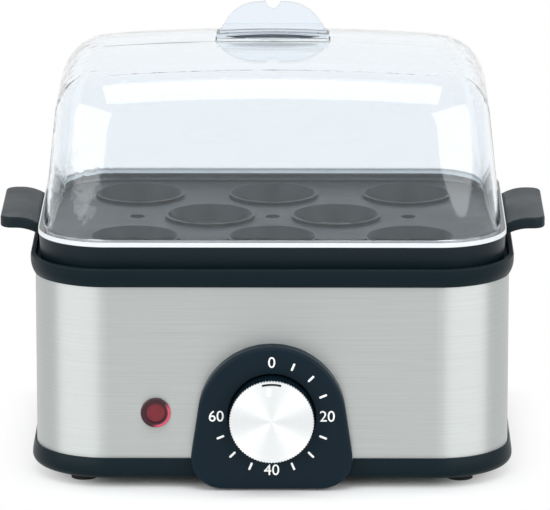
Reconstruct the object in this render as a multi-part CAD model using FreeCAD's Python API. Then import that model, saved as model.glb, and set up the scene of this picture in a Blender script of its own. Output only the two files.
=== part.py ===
# Household egg boiler for eight: a steel-sleeved base with a water bowl and a wind-up timer,
# a lift-out tray with two side handles, and a clear lid.
# Lengths are in millimetres: +X is the user's right, -Y the front with the dial, +Z up.
# The origin is on the table, under the middle of the whole object's box.
import FreeCAD, Part

import math
import os

V = FreeCAD.Vector
ORIGIN = V(0, 0, 0)
RIGHT = V(1, 0, 0)
BACK = V(0, 1, 0)
FRONT = V(0, -1, 0)
UP = V(0, 0, 1)
DOWN = V(0, 0, -1)

# Shared clearances
fit_gap = 0.25
hair = 0.05
cut_over = 2.0

# Housing: seen from above it is a rounded rectangle, and the sleeve is its driving outline
sleeve_half_width = 99.8
sleeve_half_depth = 75.0
sleeve_corner = 31.0
sleeve_wall = 0.6
sleeve_show = 73.8
sleeve_tuck = 2.4

# Base moulding and its feet
base_clearance = 3.5
base_height = 9.0
base_edge = 3.5
base_proud = 1.9
base_top_proud = 0.8
base_floor = 2.5
base_wall = 2.0
base_upstand = 6.0
foot_from_side = 20.5
foot_from_front = 15.2
foot_radius = 5.5
foot_stem_radius = 2.6
foot_stem_length = 2.0
vent_count = 5
vent_width = 3.0
vent_length = 26.0
vent_pitch = 9.0

# Collar on top of the sleeve
collar_height = 7.9
collar_proud = 2.0
collar_foot_proud = 0.5
collar_swell = 5.3
collar_edge = 0.8
collar_lip = 2.0
collar_lip_depth = 3.0
collar_deck = 3.2
collar_wall = 1.6
collar_skirt = 6.0
opening_margin = 11.2
opening_corner = 26.0

# Corner posts and the tie screws that clamp base, sleeve and collar together
post_radius = 3.6
post_wall_gap = 0.4
post_split = 28.0
screw_radius = 1.4
screw_head_radius = 2.6
screw_head_height = 2.0
screw_bite = 14.0
screw_gap = 0.2
slot_width = 0.8
slot_depth = 0.7

# Water bowl, its seal and its clips
bowl_sheet = 1.2
bowl_clear = 1.0
bowl_flange_width = 2.8
bowl_depth = 23.0
bowl_bend = 9.0
bowl_lean = 2.0
seal_thickness = 1.5
clip_from_middle = 42.0
clip_width = 9.0
clip_sheet = 1.2
clip_boss_radius = 2.4
small_screw_radius = 1.25
small_head_radius = 2.3
small_head_height = 1.6
small_screw_bite = 4.0

# Heater group under the bowl
spreader_half_width = 58.0
spreader_half_depth = 38.0
spreader_corner = 16.0
spreader_thickness = 3.0
stud_from_middle = 18.0
stud_radius = 1.5
stud_length = 6.5
nut_across = 5.5
nut_height = 2.4
heater_radius = 3.3
heater_half_width = 46.0
heater_half_depth = 27.0
heater_turn = 12.0
heater_end_side = 26.0
heater_drop = 9.0
pin_radius = 1.2
pin_length = 7.0
thermostat_radius = 8.0
thermostat_cap = 4.0
thermostat_body = 7.0
thermostat_step = 1.0
tab_length = 6.0
tab_width = 4.0
tab_sheet = 0.8
strap_width = 8.0
strap_sheet = 1.0
strap_leg = 12.0
strap_end = 22.0
fuse_side = 26.0
fuse_radius = 2.0
fuse_length = 12.0
fuse_sleeve_wall = 0.6
fuse_sleeve_length = 30.0
fuse_clip_width = 6.0
fuse_clip_wall = 0.8
tag_sheet = 0.8
tag_radius = 4.0
tag_length = 12.0

# Tray with eight seats
tray_side_gap = 3.5
tray_front_gap = 6.3
tray_corner = 29.0
tray_rim_height = 11.15
tray_rim_wall = 1.8
tray_rim_flare = 0.6
tray_deck = 1.8
tray_deck_drop = 3.5
tray_skirt_wall = 1.4
tray_skirt_gap = 0.9
tray_skirt_reach = 2.6
outer_seat_x = 58.0
inner_seat_x = 27.0
seat_y = 40.0
seat_mouth_radius = 17.5
seat_foot_radius = 14.8
seat_depth = 6.0
seat_wall = 1.3
seat_lip = 1.2
steam_hole_radius = 3.2
handle_reach = 17.2
handle_half_width = 29.0
handle_thickness = 4.8
handle_rise = 2.8
handle_root_drop = 0.4
handle_sweep = 10.5
handle_corner = 5.0
handle_round = 0.9

# Lid
lid_overhang = 0.3
lid_flange_thickness = 1.9
lid_flange_side = 1.8
lid_flange_front = 5.2
lid_corner = 28.0
lid_wall = 1.8
lid_height = 71.45
lid_side_slope = 0.108
lid_front_slope = 0.079
lid_corner_share = 0.3
lid_bend = 21.3
crown_radius_across = 1024.0
crown_radius_deep = 300.0
lid_spigot = 2.2
lid_spigot_gap = 0.5

# Lid handle: a boss with a steam slot in its front, and a fin for the fingers
boss_half_width = 24.0
boss_depth = 11.0
boss_front = 0.5
boss_height = 3.5
boss_corner = 1.2
boss_sink = 3.0
boss_crown_radius = 320.0
slot_half_length = 19.8
slot_half_height = 1.2
slot_below_top = 1.8
slot_reach = 4.0
channel_half_length = 16.0
channel_width = 2.5
fin_half_width = 22.6
fin_height = 12.3
fin_width_shares = (1.0, 0.92, 0.835, 0.71, 0.51, 0.2)
fin_height_shares = (0.0, 0.22, 0.46, 0.69, 0.905, 1.0)
fin_thickness = 3.2
fin_set_back = 3.9
fin_step_height = 2.4
fin_step_proud = 1.5
notch_half_width = 3.0
notch_depth = 3.0

# Dial plate, knob and timer, on one axis that runs front to back
axis_height = 32.3
dial_proud = 7.0
dial_radius = 31.0
dial_head_drop = 1.2
dial_low_half = 33.8
dial_drop = 31.4
dial_corner = 13.0
dial_edge = 1.3
well_radius = 18.6
well_depth = 4.5
hub_hole_radius = 7.0
knob_radius = 17.7
knob_reach = 8.6
knob_gap = 0.5
knob_teeth = 90
knob_tooth = 0.45
knob_wall = 1.6
knob_hub_radius = 6.0
cap_thickness = 1.2
cap_rim = 1.4
cap_dish = 0.2
arc_slot_radius = 16.6
arc_slot_width = 1.0
arc_slot_half_angle = 14.5
pointer_drop = 1.6
pointer_width = 1.7
pointer_length = 3.4
pointer_side = 1.13
pointer_proud = 0.25
shaft_radius = 3.0
shaft_flat = 0.8
shaft_clear = 0.06
shaft_in_knob = 7.5
timer_half_width = 21.0
timer_half_height = 19.0
timer_plate = 1.2
timer_plate_margin = 3.0
timer_depth = 21.0
timer_wall = 1.5
timer_screw_spread = 12.4
wheel_teeth = 48
pinion_teeth = 12
gear_module = 0.45
gear_play = 0.16
tooth_top_share = 0.9
tooth_root_share = 1.2
tooth_slope_share = 0.42
wheel_thickness = 1.6
pinion_thickness = 3.0
arbor_radius = 1.0
arbor_clear = 0.08
spring_turns = 5
spring_steps = 8
spring_strip = 0.4
spring_bore_gap = 0.5
spring_outer = 10.8
spring_height = 4.0
spring_clear = 1.4
bell_radius = 14.5
bell_length = 7.0
bell_wall = 0.9
bell_stem_radius = 2.0
bell_rise = 4.0
blade_width = 4.8
blade_length = 8.0
blade_sheet = 0.8
blade_spread = 10.0
blade_wire_share = 0.7

# Pilot lamp
lamp_side_share = 0.423
lens_radius = 6.3
lens_proud = 1.6
lens_dish_radius = 4.2
lens_dish_depth = 0.8
lens_round = 0.6
lens_body_radius = 4.8
lens_length = 13.0
lens_wall = 0.9
lamp_ring_radius = 8.0
lamp_ring_thickness = 1.2
bulb_radius = 2.4
bulb_length = 8.0
lamp_cap_length = 4.0

# Mains side: gland, terminal block and wires
gland_side = 58.0
gland_height = 24.0
gland_bore_radius = 3.6
gland_body_radius = 6.0
gland_flange_radius = 8.0
gland_flange = 1.8
gland_length = 9.0
block_side = 34.0
block_set_back = 42.0
block_length = 30.0
block_depth = 16.0
block_height = 13.0
block_poles = 3
block_screw_radius = 1.7
block_screw_drop = 1.0
block_wire_reach = 2.0
wire_radius = 1.1
lead_radius = 0.6
lead_spread = 1.8
bend_share = 0.45
push_half_width = 3.2
push_half_height = 1.4
push_length = 7.0
push_wall = 1.0
wire_low_level = 34.0
wire_front_side = 30.0
wire_side_reach = 4.0
wire_cross_gap = 4.0
lead_back_run = 10.0
lead_down_run = 28.0
splice_wall = 0.65
splice_length = 10.0
splice_set_back = 5.0

# Levels, worked out from the sizes above
base_bottom = base_clearance
base_top = base_bottom + base_height
base_inside = base_bottom + base_floor
sleeve_bottom = base_top - sleeve_tuck
collar_bottom = base_top + sleeve_show
sleeve_top = collar_bottom + sleeve_tuck
collar_top = collar_bottom + collar_height
deck_top = collar_top - collar_lip_depth
deck_bottom = deck_top - collar_deck
tray_top = deck_top + tray_rim_height
tray_deck_top = tray_top - tray_deck_drop
flange_top = tray_top + lid_flange_thickness
lid_top = flange_top + lid_height
boss_top = lid_top + boss_height
seal_bottom = deck_bottom - seal_thickness
flange_bottom = seal_bottom - bowl_sheet
bowl_floor_top = seal_bottom - bowl_depth
bowl_under = bowl_floor_top - bowl_sheet
spreader_under = bowl_under - spreader_thickness
heater_level = spreader_under - hair - heater_radius
strap_low = spreader_under - thermostat_cap
thermostat_low = strap_low - thermostat_body
tab_level = thermostat_low + tab_sheet / 2
fuse_level = spreader_under - 2 * hair - fuse_radius - fuse_sleeve_wall - fuse_clip_wall
block_level = base_inside + block_height / 2
blade_level = axis_height + timer_half_height + blade_length * blade_wire_share
lead_level = axis_height + timer_half_height + push_wall + lead_radius + fit_gap

# Depths along the dial's axis
front_face = -sleeve_half_depth
dial_face = front_face - dial_proud
well_floor = dial_face + well_depth
knob_back = well_floor - small_head_height - knob_gap
cap_front = dial_face - knob_reach
knob_front = cap_front + cap_thickness
timer_front = front_face + sleeve_wall
case_front = timer_front + timer_plate
timer_back = case_front + timer_depth
wheel_front = case_front + spring_height + spring_clear
blade_y = case_front + timer_depth / 2

# Gear centres
wheel_pitch = gear_module * wheel_teeth / 2
pinion_pitch = gear_module * pinion_teeth / 2
pinion_height = axis_height - wheel_pitch - pinion_pitch


def inset(outline, amount):
    """An outline (half width, half depth, corner radius) moved inwards, or outwards below zero."""
    return (outline[0] - amount, outline[1] - amount, max(outline[2] - amount, sleeve_wall))


sleeve = (sleeve_half_width, sleeve_half_depth, sleeve_corner)
sleeve_inside = inset(sleeve, sleeve_wall + fit_gap)
opening = inset(sleeve, opening_margin)[:2] + (opening_corner,)
bowl_outer = inset(opening, -bowl_clear)
bowl_flange = inset(bowl_outer, -bowl_flange_width)
collar_side = sleeve_half_width + collar_proud
collar_front = sleeve_half_depth + collar_proud
tray_outer = (collar_side - tray_side_gap, collar_front - tray_front_gap, tray_corner)
tray_inner = inset(tray_outer, tray_rim_flare + tray_rim_wall)
lamp_side = dial_low_half + (sleeve_half_width - sleeve_corner - dial_low_half) * lamp_side_share
lid_flange = inset(tray_outer, -lid_overhang)
lid_foot = (lid_flange[0] - lid_flange_side, lid_flange[1] - lid_flange_front, lid_corner)
handle_tip = tray_outer[0] + handle_reach
foot_x = sleeve_half_width - foot_from_side
foot_y = sleeve_half_depth - foot_from_front
post_inset = inset(sleeve_inside, post_wall_gap + post_radius)
post_x = post_inset[0] - post_inset[2] * (1 - math.sqrt(0.5))
post_y = post_inset[1] - post_inset[2] * (1 - math.sqrt(0.5))
clip_y = (bowl_flange[1] + sleeve_inside[1] - collar_wall) / 2

# The box of the whole object runs from the knob's cap to the back of the collar.
centre_shift = -(cap_front + collar_front) / 2


def corners_of(x, y):
    """The four places that mirror one place left to right and front to back."""
    return [(sx * x, sy * y) for sx in (-1, 1) for sy in (-1, 1)]


def fuse(shapes):
    """One solid from shapes that meet."""
    return shapes[0].fuse(shapes[1:]).removeSplitter()


def outline_wire(outline, z):
    """A rounded rectangle at a height."""
    half_w, half_d, r = outline
    lean = r * math.sqrt(0.5)
    turns = ((1, 1), (-1, 1), (-1, -1), (1, -1))
    starts = []
    ends = []
    edges = []
    for sx, sy in turns:
        c = V(sx * (half_w - r), sy * (half_d - r), z)
        to_x = c + V(sx * r, 0, 0)
        to_y = c + V(0, sy * r, 0)
        start, end = (to_x, to_y) if sx == sy else (to_y, to_x)
        starts.append(start)
        ends.append(end)
        edges.append(Part.Arc(start, c + V(sx * lean, sy * lean, 0), end).toShape())
    for i, end in enumerate(ends):
        edges.append(Part.LineSegment(end, starts[(i + 1) % len(starts)]).toShape())
    return Part.Wire(Part.__sortEdges__(edges))


def prism(outline, low, high):
    """A rounded rectangle raised from low to high."""
    return Part.Face(outline_wire(outline, low)).extrude(V(0, 0, high - low))


def frame(outer, inner, low, high):
    """A band between two rounded rectangles."""
    return prism(outer, low, high).cut(prism(inner, low - cut_over, high + cut_over))


def drafted(foot, low, head, high):
    """A block whose outline changes evenly from foot at low to head at high."""
    return Part.makeLoft([outline_wire(foot, low), outline_wire(head, high)], True, True)


def rod(radius, start, direction, length):
    """A cylinder from start along direction."""
    return Part.makeCylinder(radius, length, start, direction)


def pipe(outer, inner, start, direction, length):
    """A hollow cylinder from start along direction."""
    bore = rod(inner, start - direction * cut_over, direction, length + 2 * cut_over)
    return rod(outer, start, direction, length).cut(bore)


def block(x, y, z):
    """A box between pairs of x, y and z, given in any order."""
    low = V(min(x), min(y), min(z))
    return Part.makeBox(max(x) - low.x, max(y) - low.y, max(z) - low.z, low)


def polygon(points):
    """A flat face through points in order."""
    return Part.Face(Part.makePolygon(list(points) + [points[0]]))


def ring(outline, section):
    """Carries a section round a rounded rectangle; section(r) is drawn at radius r from a corner's centre."""
    half_w, half_d, r = outline
    runs = (2 * (half_w - r), 2 * (half_d - r))
    pieces = []
    for i, (sx, sy) in enumerate(((1, 1), (-1, 1), (-1, -1), (1, -1))):
        centre = V(sx * (half_w - r), sy * (half_d - r), 0)
        face = section(r)
        face.rotate(ORIGIN, UP, 90 * i)
        face.translate(centre)
        pieces.append(face.revolve(centre, UP, 90))
        face = section(r)
        face.rotate(ORIGIN, UP, 90 * (i + 1))
        face.translate(centre)
        along = FreeCAD.Rotation(UP, 90 * (i + 1)).multVec(BACK)
        pieces.append(face.extrude(along * runs[i % 2]))
    return fuse(pieces)


def swell(upright, far):
    """The middle of an arc that stands upright at one end and leans over to the far end."""
    dx = far.x - upright.x
    dz = far.z - upright.z
    radius = (dx * dx + dz * dz) / (2 * abs(dx))
    half = math.asin(abs(dz) / radius) / 2
    across = math.copysign(radius * (1 - math.cos(half)), dx)
    return V(upright.x + across, upright.y, upright.z + math.copysign(radius * math.sin(half), dz))


def face_of(edges):
    """A flat face inside a closed chain of edges."""
    return Part.Face(Part.Wire(Part.__sortEdges__(edges)))


def line(a, b):
    """A straight edge."""
    return Part.LineSegment(a, b).toShape()


def arc(a, b, c):
    """A round edge through three points."""
    return Part.Arc(a, b, c).toShape()


def route(points, largest):
    """Straight runs joined by tangent arcs; no arc is larger than the largest radius."""
    edges = []
    at = points[0]
    for before, corner, after in zip(points, points[1:], points[2:]):
        back = V(before - corner).normalize()
        ahead = V(after - corner).normalize()
        half = back.getAngle(ahead) / 2
        shorter = min((before - corner).Length, (after - corner).Length)
        reach = min(bend_share * shorter, largest / math.tan(half))
        radius = reach * math.tan(half)
        middle = corner + V(back + ahead).normalize() * (radius / math.sin(half) - radius)
        edges.append(line(at, corner + back * reach))
        edges.append(arc(corner + back * reach, middle, corner + ahead * reach))
        at = corner + ahead * reach
    edges.append(line(at, points[-1]))
    return Part.Wire(edges)


def tube(points, radius, largest):
    """A round bar along a route."""
    direction = V(points[1] - points[0]).normalize()
    circle = Part.Wire(Part.makeCircle(radius, points[0], direction))
    return route(points, largest).makePipeShell([circle], True, False)


def screw(head_radius, head_height, radius, length, seat, direction):
    """A slotted screw: seat lies under the head, and the shank runs along direction."""
    across = RIGHT
    other = direction.cross(across)
    head = rod(head_radius, seat - direction * head_height, direction, head_height)
    start = seat - direction * (head_height + cut_over)
    half = across * (head_radius + cut_over)
    edge = other * (slot_width / 2)
    opening_points = [start - half - edge, start + half - edge, start + half + edge, start - half + edge]
    slot = polygon(opening_points).extrude(direction * (cut_over + slot_depth))
    return fuse([head.cut(slot), rod(radius, seat, direction, length)])


def save(name, shapes):
    """Writes one node, moved so that the object's box is centred on the origin."""
    solids = shapes if isinstance(shapes, list) else [shapes]
    for solid in solids:
        solid.translate(V(0, centre_shift, 0))
    whole = solids[0] if len(solids) == 1 else Part.Compound(solids)
    whole.exportStep("parts/" + name + ".step")


def make_feet():
    """Soft rubber feet pushed into the floor of the base."""
    feet = []
    for x, y in corners_of(foot_x, foot_y):
        pad = rod(foot_radius, V(x, y, 0), UP, base_clearance)
        stem = rod(foot_stem_radius, V(x, y, base_clearance), UP, foot_stem_length)
        feet.append(fuse([pad, stem]))
    return feet


def base_section(r):
    """The base's outer band: rounded under, widest low down, leaning in to the sleeve."""
    inner = r - sleeve_wall - fit_gap - base_wall
    wide = r + base_proud
    low = V(inner, 0, base_bottom)
    under = V(wide - base_edge, 0, base_bottom)
    side = V(wide, 0, base_bottom + base_edge)
    top = V(r + base_top_proud, 0, base_top)
    inner_top = V(inner, 0, base_top)
    turn = base_edge * (1 - math.sqrt(0.5))
    return face_of([
        line(low, under),
        arc(under, V(wide - turn, 0, base_bottom + turn), side),
        arc(side, swell(side, top), top),
        line(top, inner_top),
        line(inner_top, low),
    ])


def make_base():
    """Black moulded base: rounded band, floor, inner upstand, screw posts and vents."""
    hollow = inset(sleeve_inside, base_wall)
    body = ring(sleeve, base_section)
    floor = prism(inset(hollow, -base_wall / 2), base_bottom, base_inside)
    upstand = frame(sleeve_inside, hollow, sleeve_bottom, base_top + base_upstand)
    body = body.cut(frame(inset(sleeve, -fit_gap), sleeve_inside, sleeve_bottom, base_top + cut_over))
    body = fuse([body, floor, upstand])
    posts = [rod(post_radius, V(x, y, base_inside - hair), UP, post_split - base_inside + hair)
             for x, y in corners_of(post_x, post_y)]
    body = fuse([body] + posts)
    cutters = [dial_prism(fit_gap, dial_face, front_face + hair)]
    rear = V(gland_side, sleeve_half_depth - gland_length, gland_height)
    cutters.append(rod(gland_body_radius + fit_gap, rear, BACK, gland_length))
    reach = timer_half_width + timer_plate_margin + fit_gap
    behind = front_face + sleeve_wall + fit_gap + base_wall + cut_over
    above = base_top + base_upstand + cut_over
    below = axis_height - timer_half_height - fit_gap
    cutters.append(block((-reach, reach), (front_face, behind), (below, above)))
    for x, y in corners_of(post_x, post_y):
        cutters.append(rod(screw_radius + screw_gap, V(x, y, 0), UP, post_split + cut_over))
        cutters.append(rod(screw_head_radius + screw_gap, V(x, y, 0), UP, base_inside + screw_head_height))
    for x, y in corners_of(foot_x, foot_y):
        cutters.append(rod(foot_stem_radius, V(x, y, 0), UP, base_clearance + foot_stem_length))
    for i in range(vent_count):
        x = (i - (vent_count - 1) / 2) * vent_pitch
        cutters.append(block((x - vent_width / 2, x + vent_width / 2), (-vent_length / 2, vent_length / 2),
                             (0, base_inside + cut_over)))
    return body.cut(cutters)


def make_sleeve():
    """Brushed stainless sleeve in two sheets that meet at the middle of each side.

    The front one has holes for the timer, its screws and the lamp, and the back one for the gland.
    """
    body = frame(sleeve, inset(sleeve, sleeve_wall), sleeve_bottom, sleeve_top)
    front = V(0, front_face - cut_over, axis_height)
    reach = sleeve_wall + 2 * cut_over
    cutters = [rod(hub_hole_radius, front, BACK, reach)]
    for side in (-1, 1):
        place = front + V(side * timer_screw_spread, 0, 0)
        cutters.append(rod(small_screw_radius + screw_gap, place, BACK, reach))
    cutters.append(rod(lens_body_radius + hair, front - V(lamp_side, 0, 0), BACK, reach))
    rear = V(gland_side, sleeve_half_depth - sleeve_wall - cut_over, gland_height)
    cutters.append(rod(gland_body_radius + hair, rear, BACK, reach))
    body = body.cut(cutters)
    width = sleeve_half_width + cut_over
    return [body.common(block((-width, width), (0, side * (sleeve_half_depth + cut_over)),
                              (sleeve_bottom, sleeve_top))) for side in (-1, 1)]


def collar_section(r):
    """The collar's outer band: it swells out over the sleeve and ends in a lip round the tray's rebate."""
    inner = r - sleeve_wall - fit_gap - collar_wall
    wide = r + collar_proud
    turn = collar_edge * (1 - math.sqrt(0.5))
    low = V(inner, 0, collar_bottom)
    foot = V(r + collar_foot_proud, 0, collar_bottom)
    widest = V(wide, 0, collar_bottom + collar_swell)
    shoulder = V(wide, 0, collar_top - collar_edge)
    crest = V(wide - collar_edge, 0, collar_top)
    lip = V(wide - collar_lip, 0, collar_top)
    deck = V(wide - collar_lip, 0, deck_top)
    inner_top = V(inner, 0, deck_top)
    return face_of([
        line(low, foot),
        arc(foot, swell(widest, foot), widest),
        line(widest, shoulder),
        arc(shoulder, V(wide - turn, 0, collar_top - turn), crest),
        line(crest, lip),
        line(lip, deck),
        line(deck, inner_top),
        line(inner_top, low),
    ])


def make_collar():
    """Black moulded collar: swelling band, deck that carries the tray, skirt, screw posts and clip bosses."""
    skirt_inner = inset(sleeve_inside, collar_wall)
    body = ring(sleeve, collar_section)
    body = body.cut(frame(inset(sleeve, -hair), sleeve_inside, collar_bottom - cut_over, sleeve_top))
    deck = frame(inset(skirt_inner, -collar_wall / 2), opening, deck_bottom, deck_top)
    skirt = frame(sleeve_inside, skirt_inner, deck_bottom - collar_skirt, deck_bottom)
    posts = [rod(post_radius, V(x, y, post_split), UP, deck_top - hair - post_split)
             for x, y in corners_of(post_x, post_y)]
    bosses = [rod(clip_boss_radius, V(x, y, flange_bottom), UP, deck_top - hair - flange_bottom)
              for x, y in corners_of(clip_from_middle, clip_y)]
    body = fuse([body, deck, skirt] + posts + bosses)
    cutters = [rod(screw_radius, V(x, y, post_split - cut_over), UP, screw_bite + cut_over)
               for x, y in corners_of(post_x, post_y)]
    cutters += [rod(small_screw_radius, V(x, y, flange_bottom - cut_over), UP, small_screw_bite + cut_over)
                for x, y in corners_of(clip_from_middle, clip_y)]
    return body.cut(cutters)


def make_tie_screws():
    """Long screws from under the base into the collar's posts."""
    seat = base_inside + screw_head_height
    length = post_split + screw_bite - seat - fit_gap
    return [screw(screw_head_radius, screw_head_height, screw_radius, length, V(x, y, seat), UP)
            for x, y in corners_of(post_x, post_y)]


def bowl_block(shrink):
    """The bowl's outer form, shrunk by an amount for its hollow."""
    low = bowl_under + shrink
    high = seal_bottom
    mouth = inset(bowl_outer, shrink)
    floor = inset(mouth, bowl_lean)
    body = drafted(mouth, high, floor, low)
    rim = [e for e in body.Edges if e.BoundBox.ZMax < low + hair]
    body = body.makeFillet(bowl_bend - shrink, rim)
    return fuse([body, prism(mouth, high, high + cut_over)]) if shrink else body


def make_bowl():
    """Drawn aluminium water bowl with a flat flange."""
    flange = prism(bowl_flange, flange_bottom, seal_bottom)
    return fuse([bowl_block(0), flange]).cut(bowl_block(bowl_sheet))


def make_seal():
    """Silicone ring between the bowl's flange and the collar's deck."""
    return frame(inset(bowl_flange, fit_gap), inset(bowl_outer, bowl_sheet / 2), seal_bottom, deck_bottom)


def make_clips():
    """Steel tabs that press the bowl's flange up against the seal."""
    clips = []
    for x, y in corners_of(clip_from_middle, clip_y):
        side = math.copysign(1, y)
        outer = y + side * (clip_boss_radius - 2 * hair)
        inner = side * (bowl_outer[1] + bowl_sheet)
        tab = block((x - clip_width / 2, x + clip_width / 2), (inner, outer),
                    (flange_bottom - clip_sheet, flange_bottom))
        hole = rod(small_screw_radius + hair, V(x, y, flange_bottom - clip_sheet - cut_over), UP,
                   clip_sheet + 2 * cut_over)
        clips.append(tab.cut(hole))
    return clips


def make_clip_screws():
    """Short screws through the clips into the collar."""
    seat = flange_bottom - clip_sheet
    length = clip_sheet + small_screw_bite - fit_gap
    return [screw(small_head_radius, small_head_height, small_screw_radius, length, V(x, y, seat), UP)
            for x, y in corners_of(clip_from_middle, clip_y)]


def make_spreader():
    """Thick aluminium plate under the bowl that spreads the heat, with two studs."""
    outline = (spreader_half_width, spreader_half_depth, spreader_corner)
    plate = prism(outline, spreader_under, bowl_under)
    studs = [rod(stud_radius, V(0, side * stud_from_middle, spreader_under - stud_length), UP,
                 stud_length + spreader_thickness / 2) for side in (-1, 1)]
    return fuse([plate] + studs)


def make_heater():
    """Sheathed tubular heater in one loop, with both ends turned down."""
    w = heater_half_width
    d = heater_half_depth
    e = heater_end_side
    z = heater_level
    low = z - heater_drop
    points = [V(-e, d, low), V(-e, d, z), V(-w, d, z), V(-w, -d, z), V(w, -d, z), V(w, d, z), V(e, d, z),
              V(e, d, low)]
    return tube(points, heater_radius, heater_turn)


def make_heater_pins():
    """Cold pins that stand out of the heater's ends."""
    low = heater_level - heater_drop
    return [rod(pin_radius, V(side * heater_end_side, heater_half_depth, low), DOWN, pin_length)
            for side in (-1, 1)]


def make_thermostat():
    """Disc thermostat pressed against the spreader, with its two tabs."""
    cap = rod(thermostat_radius, V(0, 0, strap_low), UP, thermostat_cap)
    body_radius = thermostat_radius - thermostat_step
    body = rod(body_radius, V(0, 0, thermostat_low), UP, thermostat_body)
    tabs = [block((side * (body_radius - tab_sheet), side * (thermostat_radius + tab_length)),
                  (-tab_width / 2, tab_width / 2), (thermostat_low, thermostat_low + tab_sheet))
            for side in (-1, 1)]
    return fuse([cap, body] + tabs)


def make_strap():
    """Steel strap that holds the thermostat up, with its ends under the spreader's studs."""
    low = strap_low - strap_sheet
    half = strap_width / 2
    bar = block((-half, half), (-strap_leg - strap_sheet, strap_leg + strap_sheet), (low, strap_low))
    disc = rod(thermostat_radius + strap_sheet, V(0, 0, low), UP, strap_sheet)
    pieces = [bar, disc]
    for side in (-1, 1):
        pieces.append(block((-half, half), (side * strap_leg, side * (strap_leg + strap_sheet)),
                            (low, spreader_under)))
        pieces.append(block((-half, half), (side * strap_leg, side * strap_end),
                            (spreader_under - strap_sheet, spreader_under)))
    body = fuse(pieces)
    window = rod(thermostat_radius - thermostat_step + fit_gap, V(0, 0, low - cut_over), UP,
                 strap_sheet + cut_over)
    depth = thermostat_cap + strap_sheet
    holes = [rod(stud_radius + screw_gap, V(0, side * stud_from_middle, low), UP, depth) for side in (-1, 1)]
    return body.cut([window] + holes)


def make_strap_nuts():
    """Hexagon nuts under the strap's ends; the rear one also clamps the earth tag."""
    nuts = []
    for side in (-1, 1):
        seat = spreader_under - strap_sheet - (tag_sheet if side > 0 else 0)
        centre = V(0, side * stud_from_middle, seat - nut_height)
        reach = nut_across / math.sqrt(3)
        points = [centre + V(reach * math.cos(i * math.pi / 3), reach * math.sin(i * math.pi / 3), 0)
                  for i in range(6)]
        hole = rod(stud_radius + hair, centre - V(0, 0, cut_over), UP, nut_height + 2 * cut_over)
        nuts.append(polygon(points).extrude(V(0, 0, nut_height)).cut(hole))
    return nuts


def make_earth_tag():
    """Ring tag between the rear nut and the strap, with a tail for the earth wire."""
    low = spreader_under - strap_sheet - tag_sheet
    disc = rod(tag_radius, V(0, stud_from_middle, low), UP, tag_sheet)
    tail = block((-tag_length, 0), (stud_from_middle - wire_radius, stud_from_middle + wire_radius),
                 (low, low + tag_sheet))
    hole = rod(stud_radius + hair, V(0, stud_from_middle, low - cut_over), UP, tag_sheet + 2 * cut_over)
    return fuse([disc, tail]).cut(hole)


def make_fuse():
    """Thermal fuse."""
    return rod(fuse_radius, V(fuse_side, -fuse_length / 2, fuse_level), BACK, fuse_length)


def make_fuse_sleeve():
    """Glass-fibre sleeve over the thermal fuse."""
    start = V(fuse_side, -fuse_sleeve_length / 2, fuse_level)
    return pipe(fuse_radius + fuse_sleeve_wall, fuse_radius, start, BACK, fuse_sleeve_length)


def make_fuse_clip():
    """Band that holds the fuse up, with a foot welded to the spreader."""
    inner = fuse_radius + fuse_sleeve_wall
    outer = inner + fuse_clip_wall
    start = V(fuse_side, -fuse_clip_width / 2, fuse_level)
    band = rod(outer, start, BACK, fuse_clip_width)
    foot = block((fuse_side, fuse_side + outer + fuse_clip_width),
                 (-fuse_clip_width / 2, fuse_clip_width / 2),
                 (spreader_under - fuse_clip_wall, spreader_under))
    bore = rod(inner, start - V(0, cut_over, 0), BACK, fuse_clip_width + 2 * cut_over)
    return fuse([band, foot]).cut(bore)


def seat_places():
    """Eight seats: rows of three in front and behind, and two between them."""
    rows = [(i * outer_seat_x, side * seat_y) for side in (-1, 1) for i in (-1, 0, 1)]
    return rows + [(side * inner_seat_x, 0) for side in (-1, 1)]


def make_handle(side):
    """One side handle: it leaves the rim low, sweeps up and runs out level, with soft edges."""
    root = tray_outer[0] - tray_rim_wall / 2
    start = tray_outer[0]
    high = tray_top + handle_rise
    low = tray_top - handle_root_drop
    rise = high - low
    sweep_radius = (handle_sweep * handle_sweep + rise * rise) / (2 * rise)
    half = math.asin(handle_sweep / sweep_radius) / 2
    w = handle_half_width
    drop = V(0, 0, -handle_thickness)
    a = V(side * root, -w, low)
    b = V(side * start, -w, low)
    c = V(side * (start + handle_sweep - sweep_radius * math.sin(half)), -w,
          high - sweep_radius * (1 - math.cos(half)))
    d = V(side * (start + handle_sweep), -w, high)
    e = V(side * (handle_tip + cut_over), -w, high)
    section = face_of([line(a, b), arc(b, c, d), line(d, e), line(e, e + drop), line(e + drop, d + drop),
                       arc(d + drop, c + drop, b + drop), line(b + drop, a + drop), line(a + drop, a)])
    plate = section.extrude(V(0, 2 * w, 0))
    r = handle_corner
    turn = r * (1 - math.sqrt(0.5))
    z = low - handle_thickness - cut_over
    p = [V(side * root, -w, z), V(side * (handle_tip - r), -w, z), V(side * handle_tip, r - w, z),
         V(side * handle_tip, w - r, z), V(side * (handle_tip - r), w, z), V(side * root, w, z)]
    plan = face_of([
        line(p[0], p[1]),
        arc(p[1], V(side * (handle_tip - turn), turn - w, z), p[2]),
        line(p[2], p[3]),
        arc(p[3], V(side * (handle_tip - turn), w - turn, z), p[4]),
        line(p[4], p[5]),
        line(p[5], p[0]),
    ])
    body = plate.common(plan.extrude(V(0, 0, high - z + cut_over)))
    outer = [e for e in body.Edges if min(abs(e.BoundBox.XMin), abs(e.BoundBox.XMax)) > start - hair]
    tall = [e for e in outer if e.BoundBox.XLength < hair and e.BoundBox.YLength < hair]
    cross = [e for e in outer if e.BoundBox.YLength > w and abs(e.CenterOfMass.x) < handle_tip - hair]
    chosen = [e for e in outer if not any(e.isSame(other) for other in tall + cross)]
    return body.makeFillet(handle_round, chosen)


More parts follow.
